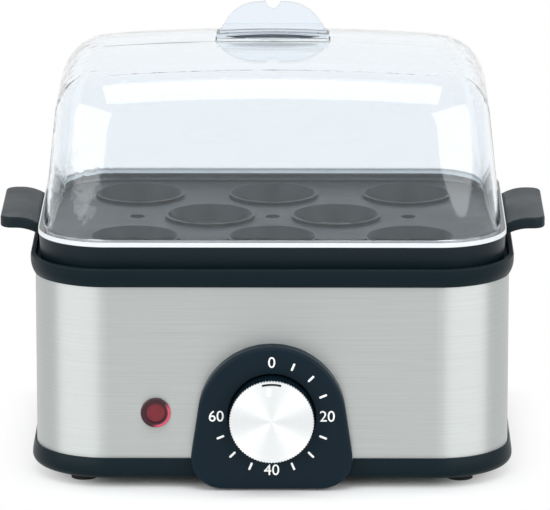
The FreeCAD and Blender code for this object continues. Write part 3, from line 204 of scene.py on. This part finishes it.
def clear_plastic(name, hex_colour, roughness, finish=None):
    """Clear plastic whose shadow is left light; finish may lay another shader over parts of it."""
    material, tree = new_material(name)
    place = add_node(tree, "ShaderNodeTexCoord").outputs["Object"]
    ripple = add_node(tree, "ShaderNodeTexNoise", {"Vector": place, "Scale": 1 / ripple_size, "Detail": 1.0})
    bump = add_node(tree, "ShaderNodeBump", {
        "Height": ripple.outputs["Fac"], "Distance": ripple_height, "Strength": half_strength})
    haze = add_node(tree, "ShaderNodeTexNoise", {"Vector": place, "Scale": 1 / haze_size, "Detail": 3.0})
    rough = add_node(tree, "ShaderNodeMapRange", {
        "Value": haze.outputs["Fac"], "From Min": noise_low, "From Max": noise_high,
        "To Min": roughness, "To Max": roughness * 2.0})
    shader = add_node(tree, "ShaderNodeBsdfPrincipled", {
        "Base Color": linear(hex_colour), "Roughness": rough.outputs["Result"], "IOR": 1.52,
        "Transmission Weight": 1.0, "Normal": bump.outputs["Normal"]})
    if finish:
        shader = finish(tree, place, shader)
    path = add_node(tree, "ShaderNodeLightPath")
    through = add_node(tree, "ShaderNodeBsdfTransparent", {"Color": linear(shadow_hex)})
    mix = add_node(tree, "ShaderNodeMixShader", {
        0: path.outputs["Is Shadow Ray"], 1: shader.outputs[0], 2: through.outputs[0]})
    close_material(tree, mix)
    return material


def inside_box(tree, place, low, high):
    """1 where a place lies in a box, 0 elsewhere."""
    middle = (Vector(low) + Vector(high)) / 2
    half = (Vector(high) - Vector(low)) / 2
    moved = add_node(tree, "ShaderNodeVectorMath", {0: place, 1: middle}, operation="SUBTRACT")
    size = add_node(tree, "ShaderNodeVectorMath", {0: moved.outputs[0]}, operation="ABSOLUTE")
    over = add_node(tree, "ShaderNodeVectorMath", {0: size.outputs[0], 1: half}, operation="SUBTRACT")
    over = add_node(tree, "ShaderNodeVectorMath", {0: over.outputs[0], 1: (0, 0, 0)}, operation="MAXIMUM")
    away = add_node(tree, "ShaderNodeVectorMath", {0: over.outputs[0]}, operation="LENGTH")
    return add_node(tree, "ShaderNodeMath", {0: away.outputs["Value"], 1: hair}, operation="LESS_THAN")


def from_outline(tree, place, middle, half, corner):
    """Distance to the core of an upright rounded box, whose outline is one corner radius further out."""
    centre = (middle[0], middle[1], 0)
    core = (half[0] - corner, half[1] - corner, 0)
    moved = add_node(tree, "ShaderNodeVectorMath", {0: place, 1: centre}, operation="SUBTRACT")
    flat = add_node(tree, "ShaderNodeVectorMath", {0: moved.outputs[0], 1: (1, 1, 0)}, operation="MULTIPLY")
    size = add_node(tree, "ShaderNodeVectorMath", {0: flat.outputs[0]}, operation="ABSOLUTE")
    over = add_node(tree, "ShaderNodeVectorMath", {0: size.outputs[0], 1: core}, operation="SUBTRACT")
    over = add_node(tree, "ShaderNodeVectorMath", {0: over.outputs[0], 1: (0, 0, 0)}, operation="MAXIMUM")
    return add_node(tree, "ShaderNodeVectorMath", {0: over.outputs[0]}, operation="LENGTH").outputs["Value"]


def frosted(tree, place):
    """A face of clear plastic that was left rough, and so looks white."""
    grain = add_node(tree, "ShaderNodeTexNoise", {"Vector": place, "Scale": 1 / frost_grain, "Detail": 3.0})
    colour = add_node(tree, "ShaderNodeMix", {
        "Factor": grain.outputs["Fac"], "A": shade(frost_hex, frost_shares[0]),
        "B": shade(frost_hex, frost_shares[1])}, data_type="RGBA")
    return add_node(tree, "ShaderNodeBsdfPrincipled", {
        "Base Color": colour.outputs["Result"], "Roughness": 0.5, "IOR": 1.5})


def without_bond(tree, place, shader, low, high):
    """Leaves out the faces inside a box, where two clear pieces are bonded together."""
    joint = inside_box(tree, place, low, high)
    gone = add_node(tree, "ShaderNodeBsdfTransparent", {"Color": linear("#ffffff")})
    return add_node(tree, "ShaderNodeMixShader", {
        0: joint.outputs[0], 1: shader.outputs[0], 2: gone.outputs[0]})


def lid_finish(tree, place, shader):
    """Frosts the edge of the lid's rim and clears the faces that are bonded to the handle."""
    half = (lid_high - lid_low) / 2
    middle = (lid_high + lid_low) / 2
    away = from_outline(tree, place, middle, half, rim_corner)
    outer = add_node(tree, "ShaderNodeMath", {0: away, 1: rim_corner - rim_edge}, operation="GREATER_THAN")
    shader = add_node(tree, "ShaderNodeMixShader", {
        0: outer.outputs[0], 1: shader.outputs[0], 2: frosted(tree, place).outputs[0]})
    low = (-boss_half_width - bond_margin, handle_low.y - bond_margin, handle_low.z - bond_margin)
    high = (boss_half_width + bond_margin, handle_low.y + boss_depth + bond_margin, lid_level - bond_top_gap)
    return without_bond(tree, place, shader, low, high)


clear_lid = clear_plastic("clear_lid_plastic", clear_hex, polish, lid_finish)
dress(clear_lid, "lid_shell")

# Lid handle: a clear moulding, a little bluer than the lid, bonded into it, with a steam slot through
# its front. The slot's back is painted dark grey in a lens shape, as painted shade of the dark inside;
# the edge of the fin is left frosted, and the cement has run up the foot of the boss and dried milky.
handle_hex = "#ebf2fb"
slot_shade_dark_hex = "#3c444c"
slot_shade_light_hex = "#6e777f"
slot_shade_patch = 7 * MM
slot_half_width = 19.9 * MM
slot_drop = 1.8 * MM
slot_half_height = 1.25 * MM
slot_front = 1.0 * MM
slot_reach = 4.1 * MM
boss_height = 3.5 * MM
cement_rise = 0.9 * MM
fin_edge_level = 1.2 * MM
edge_lean = 0.3


def handle_finish(tree, place, shader):
    """Frosts the fin's edge and cemented foot, paints shade into the slot and clears the bonded faces."""
    frost = frosted(tree, place)
    foot_low = (-boss_half_width - bond_margin, handle_low.y - bond_margin, lid_level - bond_margin)
    foot_high = (boss_half_width + bond_margin, handle_high.y + bond_margin, lid_level + cement_rise)
    foot = inside_box(tree, place, foot_low, foot_high)
    shader = add_node(tree, "ShaderNodeMixShader", {
        0: foot.outputs[0], 1: shader.outputs[0], 2: frost.outputs[0]})
    normal = add_node(tree, "ShaderNodeSeparateXYZ", {
        0: add_node(tree, "ShaderNodeNewGeometry").outputs["True Normal"]})
    forward = add_node(tree, "ShaderNodeMath", {0: normal.outputs["Y"]}, operation="ABSOLUTE")
    sideways = add_node(tree, "ShaderNodeMath", {0: forward.outputs[0], 1: edge_lean}, operation="LESS_THAN")
    fin_low = (-boss_half_width, handle_low.y, lid_level + boss_height + fin_edge_level)
    fin_high = (boss_half_width, handle_high.y, handle_high.z + bond_margin)
    fin = inside_box(tree, place, fin_low, fin_high)
    fin_edge = add_node(tree, "ShaderNodeMath", {
        0: sideways.outputs[0], 1: fin.outputs[0]}, operation="MULTIPLY")
    shader = add_node(tree, "ShaderNodeMixShader", {
        0: fin_edge.outputs[0], 1: shader.outputs[0], 2: frost.outputs[0]})
    # Painted shade: a dark grey shader fills the slot, where there is only the dark inside.
    patch = add_node(tree, "ShaderNodeTexNoise", {"Vector": place, "Scale": 1 / slot_shade_patch, "Detail": 2.0})
    slot_shade_colour = add_node(tree, "ShaderNodeMix", {
        "Factor": patch.outputs["Fac"], "A": linear(slot_shade_dark_hex), "B": linear(slot_shade_light_hex)},
        data_type="RGBA")
    slot_shade = add_node(tree, "ShaderNodeBsdfPrincipled", {
        "Base Color": slot_shade_colour.outputs["Result"], "Roughness": 0.2, "IOR": 1.5})
    level = lid_level + boss_height - slot_drop
    slot_low = (-slot_half_width, handle_low.y + slot_front, level - slot_half_height)
    slot_high = (slot_half_width, handle_low.y + slot_reach, level + slot_half_height)
    slot = inside_box(tree, place, slot_low, slot_high)
    shader = add_node(tree, "ShaderNodeMixShader", {
        0: slot.outputs[0], 1: shader.outputs[0], 2: slot_shade.outputs[0]})
    sunk_low = (-boss_half_width - bond_margin, handle_low.y - bond_margin, handle_low.z - bond_margin)
    sunk_high = (boss_half_width + bond_margin, handle_high.y + bond_margin, lid_level - bond_top_gap)
    return without_bond(tree, place, shader, sunk_low, sunk_high)


clear_handle = clear_plastic("clear_handle_plastic", handle_hex, polish, handle_finish)
dress(clear_handle, "lid_handle")

# Water bowl and heat spreader: aluminium, the bowl drawn from sheet and left satin, with faint draw
# marks down its walls; it hangs by its flange on a silicone seal under the collar.
draw_mark = 1.5 * MM
draw_stroke = 40 * MM
bowl_aluminium = brushed_sheet(
    "drawn_aluminium", "#c9cbcc", roughness=0.4, line=draw_mark, stroke=draw_stroke, axis="X", stretch=0.3)
dress(bowl_aluminium, "water_bowl", "heat_spreader")

# Dial plate and knob barrel: black ABS with a closer grain. Two screws behind the knob hold the plate,
# the sleeve and the timer together, and the barrel is pushed on the timer's shaft.
dial_hex = "#0c1c26"
dial_grain = 0.3 * MM
dial_plastic = moulded_plastic(
    "dial_black_abs", dial_hex, roughness=0.42, grain=dial_grain, height=etch_height, specular=0.11)
dress(dial_plastic, "dial_plate", "knob_barrel")

# Dial marks: white ink, pad-printed on the plate, four numbers and nine short lines with rounded
# ends between them. The film is drawn 0.06 mm thick, several times as thick as in life, so that it
# stands clear of the plate.
axis_height = 32.3 * MM
mark_radius = 23.2 * MM
digit_height = 4.75 * MM
digit_share = 0.72
digit_weight = 0.02 * MM
tick_length = 3.4 * MM
tick_width = 0.9 * MM
tick_round_share = 0.42
ink_thickness = 0.06 * MM
ink_patch = 0.8 * MM
plate_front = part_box("dial_plate")[0].y
dial_numbers = {"0": 0, "20": 90, "40": 180, "60": 270}
tick_step = 22.5


def white_ink():
    """Pad-printed white ink: nearly even, a little thin in places."""
    material, tree = new_material("white_dial_ink")
    place = add_node(tree, "ShaderNodeTexCoord").outputs["Object"]
    patch = add_node(tree, "ShaderNodeTexNoise", {"Vector": place, "Scale": 1 / ink_patch, "Detail": 2.0})
    colour = add_node(tree, "ShaderNodeMix", {
        "Factor": patch.outputs["Fac"], "A": linear("#f4f6f7"), "B": linear("#ffffff")}, data_type="RGBA")
    shader = add_node(tree, "ShaderNodeBsdfPrincipled", {
        "Base Color": colour.outputs["Result"], "Roughness": 0.4, "Specular IOR Level": 0.4})
    close_material(tree, shader)
    return material


ink = white_ink()


def settle(piece, material, body):
    """Applies a piece's place, gives it a material and lets it ride on a body."""
    bpy.ops.object.select_all(action="DESELECT")
    piece.select_set(True)
    bpy.context.view_layer.objects.active = piece
    bpy.ops.object.transform_apply(location=True, rotation=True, scale=True)
    piece.data.materials.clear()
    piece.data.materials.append(material)
    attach(piece, body)


def print_number(words, degrees):
    """One printed number, upright, at its place round the dial."""
    bpy.ops.object.select_all(action="DESELECT")
    angle = math.radians(degrees)
    bpy.ops.object.text_add(
        location=(mark_radius * math.sin(angle), plate_front, axis_height + mark_radius * math.cos(angle)),
        rotation=(math.pi / 2, 0, 0))
    piece = bpy.context.object
    piece.name = "dial_number_" + words
    piece.data.body = words
    piece.data.align_x = "CENTER"
    piece.data.align_y = "CENTER"
    piece.data.size = digit_height / digit_share
    piece.data.offset = digit_weight
    piece.data.extrude = ink_thickness / 2
    bpy.ops.object.convert(target="MESH")
    settle(bpy.context.object, ink, "base")


def print_tick(number, degrees):
    """One printed line that points at the dial's axis, with rounded ends."""
    bpy.ops.object.select_all(action="DESELECT")
    angle = math.radians(degrees)
    bpy.ops.mesh.primitive_plane_add(size=1)
    piece = bpy.context.object
    piece.name = "dial_tick_%d" % number
    bpy.ops.object.mode_set(mode="EDIT")
    bpy.ops.mesh.select_all(action="SELECT")
    bpy.ops.transform.resize(value=(tick_width, tick_length, 1))
    bpy.ops.mesh.bevel(offset=tick_width * tick_round_share, segments=5, affect="VERTICES")
    bpy.ops.mesh.select_all(action="SELECT")
    bpy.ops.mesh.extrude_region_move(TRANSFORM_OT_translate={"value": (0, 0, ink_thickness)})
    bpy.ops.mesh.select_all(action="SELECT")
    bpy.ops.mesh.normals_make_consistent(inside=False)
    bpy.ops.object.mode_set(mode="OBJECT")
    piece.location = (mark_radius * math.sin(angle), plate_front + ink_thickness / 2,
                      axis_height + mark_radius * math.cos(angle))
    piece.rotation_euler = (math.pi / 2, angle, 0)
    settle(piece, ink, "base")


for words, degrees in dial_numbers.items():
    print_number(words, degrees)
tick_angles = [tick_step * i for i in range(1, 12) if i % 4]
for number, degrees in enumerate(tick_angles, 1):
    print_tick(number, degrees)

# Knob cap: bright aluminium, turned on its face, so fine rings run round the middle and the
# reflections fan out from there. It is pressed on the barrel, and its pointer is printed white.
turning_line = 0.35 * MM
turning_height = 0.003 * MM
ring_share = 0.9


def spun_metal(name, hex_colour, roughness):
    """Metal turned on its face, with rings round the dial's axis."""
    material, tree = new_material(name)
    place = add_node(tree, "ShaderNodeTexCoord").outputs["Object"]
    centred = add_node(tree, "ShaderNodeVectorMath", {
        0: place, 1: (0, 0, axis_height)}, operation="SUBTRACT")
    flat = add_node(tree, "ShaderNodeVectorMath", {0: centred.outputs[0], 1: (1, 0, 1)}, operation="MULTIPLY")
    radius = add_node(tree, "ShaderNodeVectorMath", {0: flat.outputs[0]}, operation="LENGTH")
    rings = add_node(tree, "ShaderNodeTexNoise", {
        "W": radius.outputs["Value"], "Scale": 1 / turning_line, "Detail": 3.0}, noise_dimensions="1D")
    colour = add_node(tree, "ShaderNodeMix", {
        "Factor": rings.outputs["Fac"], "A": shade(hex_colour, ring_share), "B": linear(hex_colour)},
        data_type="RGBA")
    bump = add_node(tree, "ShaderNodeBump", {
        "Height": rings.outputs["Fac"], "Distance": turning_height, "Strength": 0.4})
    direction = add_node(tree, "ShaderNodeVectorMath", {0: flat.outputs[0]}, operation="NORMALIZE")
    around = add_node(tree, "ShaderNodeVectorMath", {
        0: direction.outputs[0], 1: (0, 1, 0)}, operation="CROSS_PRODUCT")
    shader = add_node(tree, "ShaderNodeBsdfPrincipled", {
        "Base Color": colour.outputs["Result"], "Metallic": 1.0, "Roughness": roughness, "Anisotropic": 0.9,
        "Anisotropic Rotation": quarter_turn, "Tangent": around.outputs["Vector"],
        "Normal": bump.outputs["Normal"]})
    close_material(tree, shader)
    return material


spun_aluminium = spun_metal("spun_aluminium", "#f6f9fa", roughness=0.32)
dress(spun_aluminium, "knob_cap")
dress(ink, "knob_pointer")

# Pilot lamp: a red translucent lens, moulded with a dished face, over a small neon bulb and closed
# behind by a black cap. Its dish has a painted glow, and its rim a painted highlight at the lower right.
lamp_side = 48.6 * MM
dish_radius = 4.2 * MM
dish_fade = 0.5 * MM
lens_radius = 6.3 * MM
lens_patch = 1.6 * MM
painted_glint_start = 1.5 * MM
painted_glint_full = 0.9 * MM
painted_glint_way = (0.86, 0, -0.5)
painted_glint_fade = (0.2, 0.75)
dish_dark_hex = "#6a1820"
dish_light_hex = "#84303a"
rim_dark_hex = "#3a1a24"
rim_painted_highlight_hex = "#d8566c"


def lens_plastic():
    """Red translucent plastic: a painted glow lightens its dish, a painted highlight its lower right rim."""
    material, tree = new_material("red_lens_plastic")
    place = add_node(tree, "ShaderNodeTexCoord").outputs["Object"]
    centred = add_node(tree, "ShaderNodeVectorMath", {
        0: place, 1: (-lamp_side, 0, axis_height)}, operation="SUBTRACT")
    flat = add_node(tree, "ShaderNodeVectorMath", {0: centred.outputs[0], 1: (1, 0, 1)}, operation="MULTIPLY")
    radius = add_node(tree, "ShaderNodeVectorMath", {0: flat.outputs[0]}, operation="LENGTH")
    # Painted glow: the dish is given a lighter red than the dark ring of the rim.
    patch = add_node(tree, "ShaderNodeTexNoise", {"Vector": place, "Scale": 1 / lens_patch, "Detail": 3.0})
    dish = add_node(tree, "ShaderNodeMix", {
        "Factor": patch.outputs["Fac"], "A": linear(dish_dark_hex), "B": linear(dish_light_hex)},
        data_type="RGBA")
    rim_mask = add_node(tree, "ShaderNodeMapRange", {
        "Value": radius.outputs["Value"], "From Min": dish_radius - dish_fade, "From Max": dish_radius})
    # Painted highlight: the rim is painted lighter towards the lower right.
    direction = add_node(tree, "ShaderNodeVectorMath", {0: flat.outputs[0]}, operation="NORMALIZE")
    facing = add_node(tree, "ShaderNodeVectorMath", {
        0: direction.outputs[0], 1: painted_glint_way}, operation="DOT_PRODUCT")
    painted_glint_facing = add_node(tree, "ShaderNodeMapRange", {
        "Value": facing.outputs["Value"], "From Min": painted_glint_fade[0], "From Max": painted_glint_fade[1]},
        interpolation_type="SMOOTHSTEP")
    outer = add_node(tree, "ShaderNodeMapRange", {
        "Value": radius.outputs["Value"],
        "From Min": lens_radius - painted_glint_start, "From Max": lens_radius - painted_glint_full})
    painted_glint = add_node(tree, "ShaderNodeMath", {
        0: painted_glint_facing.outputs["Result"], 1: outer.outputs["Result"]}, operation="MULTIPLY")
    rim = add_node(tree, "ShaderNodeMix", {
        "Factor": painted_glint.outputs[0], "A": linear(rim_dark_hex), "B": linear(rim_painted_highlight_hex)},
        data_type="RGBA")
    colour = add_node(tree, "ShaderNodeMix", {
        "Factor": rim_mask.outputs["Result"], "A": dish.outputs["Result"], "B": rim.outputs["Result"]},
        data_type="RGBA")
    shader = add_node(tree, "ShaderNodeBsdfPrincipled", {
        "Base Color": colour.outputs["Result"], "Roughness": 0.22, "IOR": 1.49, "Specular IOR Level": 0.3,
        "Transmission Weight": 0.1})
    close_material(tree, shader)
    return material


dress(lens_plastic(), "lamp_lens")

# Screws, clips, straps, heater pins, bell and the timer's front plate: mild steel, headed or pressed
# from sheet, then barrel-plated with zinc. They are screwed, clipped or riveted in place.
patch_share = 0.85
patch_sheen_shares = (0.8, 1.25)


def plain_metal(name, hex_colour, roughness, patch_size):
    """Plated or turned metal with a patchy sheen."""
    material, tree = new_material(name)
    place = add_node(tree, "ShaderNodeTexCoord").outputs["Object"]
    patch = add_node(tree, "ShaderNodeTexNoise", {"Vector": place, "Scale": 1 / patch_size, "Detail": 4.0})
    colour = add_node(tree, "ShaderNodeMix", {
        "Factor": patch.outputs["Fac"], "A": shade(hex_colour, patch_share), "B": linear(hex_colour)},
        data_type="RGBA")
    rough = add_node(tree, "ShaderNodeMapRange", {
        "Value": patch.outputs["Fac"], "From Min": noise_low, "From Max": noise_high,
        "To Min": roughness * patch_sheen_shares[0], "To Max": roughness * patch_sheen_shares[1]})
    shader = add_node(tree, "ShaderNodeBsdfPrincipled", {
        "Base Color": colour.outputs["Result"], "Metallic": 1.0, "Roughness": rough.outputs["Result"]})
    close_material(tree, shader)
    return material


dress(plain_metal("zinc_plated_steel", "#c4c6c4", roughness=0.3, patch_size=3 * MM),
      "tie_screws", "bowl_clips", "bowl_clip_screws", "thermostat_strap", "strap_nuts", "fuse_clip",
      "timer_screws", "timer_front_plate", "terminal_screws", "heater_pins", "timer_bell")

# Mainspring and the lamp's push-on ring: spring steel strip, rolled, hardened and left blue from its
# tempering. The spring is wound in the timer, and the ring is pushed on behind the sleeve.
dress(plain_metal("blued_spring_steel", "#6f757d", roughness=0.35, patch_size=2 * MM),
      "timer_mainspring", "lamp_ring")

# Timer shaft and pinion: free-cutting steel, turned from bar, the pinion's teeth hobbed. They run in
# holes of the timer's plates.
dress(plain_metal("turned_steel", "#b9bbbd", roughness=0.28, patch_size=1.5 * MM),
      "timer_shaft", "timer_pinion")

# Timer wheel: brass sheet, blanked, with its teeth cut on a gear hobber; it is pressed on the shaft.
# Its faces keep the fine patchy sheen of rolled brass.
dress(plain_metal("cut_brass", "#c9a35a", roughness=0.3, patch_size=2 * MM), "timer_wheel")

# Switch blades, push-on terminals, wire splice, earth tag and thermal fuse: brass, stamped, bent or
# drawn and then tinned, so they are pale and slightly dull. They are pushed on or crimped.
dress(plain_metal("tinned_brass", "#c9c4b4", roughness=0.35, patch_size=2 * MM),
      "earth_tag", "timer_blades", "wire_splice", "push_terminals", "thermal_fuse")

# Heater: a steel tube round a resistance wire, bent into its loop, with the brown-grey skin that
# annealing leaves. It lies under the heat spreader.
dress(plain_metal("heater_sheath_steel", "#77736d", roughness=0.5, patch_size=4 * MM), "heater_element")

# Timer case and terminal block: pale acetal and pale nylon, injection-moulded, with a satin skin.
# The case closes the timer, and the block is screwed to the base's floor.
dress(moulded_plastic("timer_pale_acetal", "#d8d5c9", roughness=0.45, grain=0.6 * MM, height=0.004 * MM),
      "timer_case")
dress(moulded_plastic("block_pale_nylon", "#e2dfd4", roughness=0.45, grain=0.6 * MM, height=0.004 * MM),
      "terminal_block")

# Thermostat: brown phenolic resin, compression-moulded, hard and slightly grainy, held under the
# spreader by its strap.
dress(moulded_plastic("brown_phenolic", "#4a2a1a", roughness=0.5, grain=0.5 * MM, height=0.006 * MM),
      "thermostat")

# Bowl seal: translucent silicone rubber, moulded as one ring and squeezed between the bowl's flange
# and the collar.
dress(moulded_plastic("silicone_rubber", "#cfccc2", roughness=0.55, grain=0.8 * MM, height=0.004 * MM),
      "bowl_seal")

# Fuse sleeve: woven glass yarn, coated and slipped over the thermal fuse, with a cloth-like surface.
# It keeps the fuse off the metal of its clip.
dress(moulded_plastic("woven_fibre_sleeve", "#dedbd0", roughness=0.7, grain=0.4 * MM, height=0.05 * MM),
      "fuse_sleeve")

# Wires: stranded copper in extruded silicone covers, brown for the live side, blue for neutral,
# green for earth and grey for the lamp. Their ends are pushed on or clamped.
wire_covers = [
    ("brown_wire_cover", "#57301a", ("line_wire", "switched_wire", "thermostat_wire")),
    ("blue_wire_cover", "#27509a", ("fuse_wire", "neutral_wire")),
    ("green_wire_cover", "#4f8a2b", ("earth_wire",)),
    ("grey_wire_cover", "#9a9a98", ("lamp_leads",)),
]
for name, hex_colour, wires in wire_covers:
    dress(moulded_plastic(name, hex_colour, roughness=0.45, grain=0.5 * MM, height=0.003 * MM), *wires)

# Neon bulb: clear soda glass, drawn as a small tube and sealed at both ends. It sits in the lens,
# held by the lamp's cap.
dress(clear_plastic("bulb_clear_glass", "#f6efe6", roughness=0.02), "neon_bulb")

# Floor: a plain white sheet. It keeps the object's soft shadow close round the foot, and beyond
# that it is seen as plain white.
floor_size = 12
floor_low_hex = "#fbfbfb"
floor_high_hex = "#fdfdfd"
shadow_squeeze = (0.5, 1, 1)
shadow_middle = (0, -0.002)
shadow_half = (0.032, 0.077)
shadow_reach = 0.03


def is_seen(tree):
    """1 for what the camera sees, directly, in metal or through clear plastic."""
    path = add_node(tree, "ShaderNodeLightPath")
    seen = add_node(tree, "ShaderNodeMath", {
        0: path.outputs["Is Camera Ray"], 1: path.outputs["Is Glossy Ray"]}, operation="MAXIMUM")
    return add_node(tree, "ShaderNodeMath", {
        0: seen.outputs[0], 1: path.outputs["Is Transmission Ray"]}, operation="MAXIMUM")


bpy.ops.object.select_all(action="DESELECT")
bpy.ops.mesh.primitive_plane_add(size=floor_size, location=(0, 0, 0))
floor = bpy.context.object
floor.name = "floor"
floor_material, floor_tree = new_material("white_floor")
floor_place = add_node(floor_tree, "ShaderNodeTexCoord").outputs["Object"]
floor_patch = add_node(floor_tree, "ShaderNodeTexNoise", {"Vector": floor_place, "Scale": 3.0})
floor_colour = add_node(floor_tree, "ShaderNodeMix", {
    "Factor": floor_patch.outputs["Fac"], "A": linear(floor_low_hex), "B": linear(floor_high_hex)},
    data_type="RGBA")
floor_shader = add_node(floor_tree, "ShaderNodeBsdfPrincipled", {
    "Base Color": floor_colour.outputs["Result"], "Roughness": 1.0, "Specular IOR Level": 0.0})
floor_squeezed = add_node(floor_tree, "ShaderNodeVectorMath", {
    0: floor_place, 1: shadow_squeeze}, operation="MULTIPLY")
floor_away = from_outline(floor_tree, floor_squeezed.outputs[0], shadow_middle, shadow_half, 0.0)
floor_beyond = add_node(floor_tree, "ShaderNodeMapRange", {
    "Value": floor_away, "From Min": 0.0, "From Max": shadow_reach}, interpolation_type="SMOOTHSTEP")
floor_mask = add_node(floor_tree, "ShaderNodeMath", {
    0: floor_beyond.outputs["Result"], 1: is_seen(floor_tree).outputs[0]}, operation="MULTIPLY")
floor_white = add_node(floor_tree, "ShaderNodeEmission", {"Color": linear("#ffffff"), "Strength": 1.0})
close_material(floor_tree, add_node(floor_tree, "ShaderNodeMixShader", {
    0: floor_mask.outputs[0], 1: floor_shader.outputs[0], 2: floor_white.outputs[0]}))
floor.data.materials.append(floor_material)

# World: even studio white, low enough to leave the shading to the lamps. The camera, polished metal
# and clear plastic see it as plain white.
fill_level = 0.4
world = bpy.data.worlds.new("studio")
bpy.context.scene.world = world
world.use_nodes = True
sky = world.node_tree
sky.nodes.clear()
level = add_node(sky, "ShaderNodeMapRange", {
    "Value": is_seen(sky).outputs[0], "From Min": 0.0, "From Max": 1.0, "To Min": fill_level, "To Max": 1.0})
sky_shader = add_node(sky, "ShaderNodeBackground", {
    "Color": linear("#ffffff"), "Strength": level.outputs["Result"]})
add_node(sky, "ShaderNodeOutputWorld", {"Surface": sky_shader.outputs[0]})

# Lamps: one large soft box overhead, a little in front and slightly cool, and two wide ones at the
# sides that reach down almost to the floor and give the bright bands at the sleeve's corners.
lamp_target = (0, 0, 0.09)
overhead_place = (0.0, -0.35, 2.0)
overhead_size = (1.4, 1.8)
overhead_power = 16.5
left_place = (-1.1, -0.9, 0.56)
right_place = (1.1, -0.9, 0.56)
side_size = (2.0, 1.08)
side_power = 13.5


def aim_at(thing, target):
    """Turns a lamp or the camera to face a point."""
    thing.rotation_euler = (Vector(target) - thing.location).to_track_quat("-Z", "Y").to_euler()


def softbox(name, place, size, power, colour):
    """A soft area lamp at a place, turned to the middle of the object."""
    data = bpy.data.lights.new(name, "AREA")
    data.shape = "RECTANGLE"
    data.size, data.size_y = size
    data.energy = power
    data.color = linear(colour)[:3]
    lamp = bpy.data.objects.new(name, data)
    bpy.context.scene.collection.objects.link(lamp)
    lamp.location = place
    aim_at(lamp, lamp_target)


softbox("overhead_softbox", overhead_place, overhead_size, overhead_power, "#f8feff")
softbox("left_softbox", left_place, side_size, side_power, "#ffffff")
softbox("right_softbox", right_place, side_size, side_power, "#ffffff")

# Camera: in front, a little to the right, looking down at about 14 degrees through a long lens, as
# the photograph was taken.
camera_place = (0.0142, -2.3157, 0.653)
camera_target = (0.0009, 0.0068, 0.0817)
camera_data = bpy.data.cameras.new("camera")
camera_data.lens = 364.5
camera_data.sensor_width = 36.0
camera_data.clip_end = 50.0
camera = bpy.data.objects.new("camera", camera_data)
bpy.context.scene.collection.objects.link(camera)
camera.location = camera_place
aim_at(camera, camera_target)
bpy.context.scene.camera = camera
bpy.context.scene.view_settings.view_transform = "Standard"
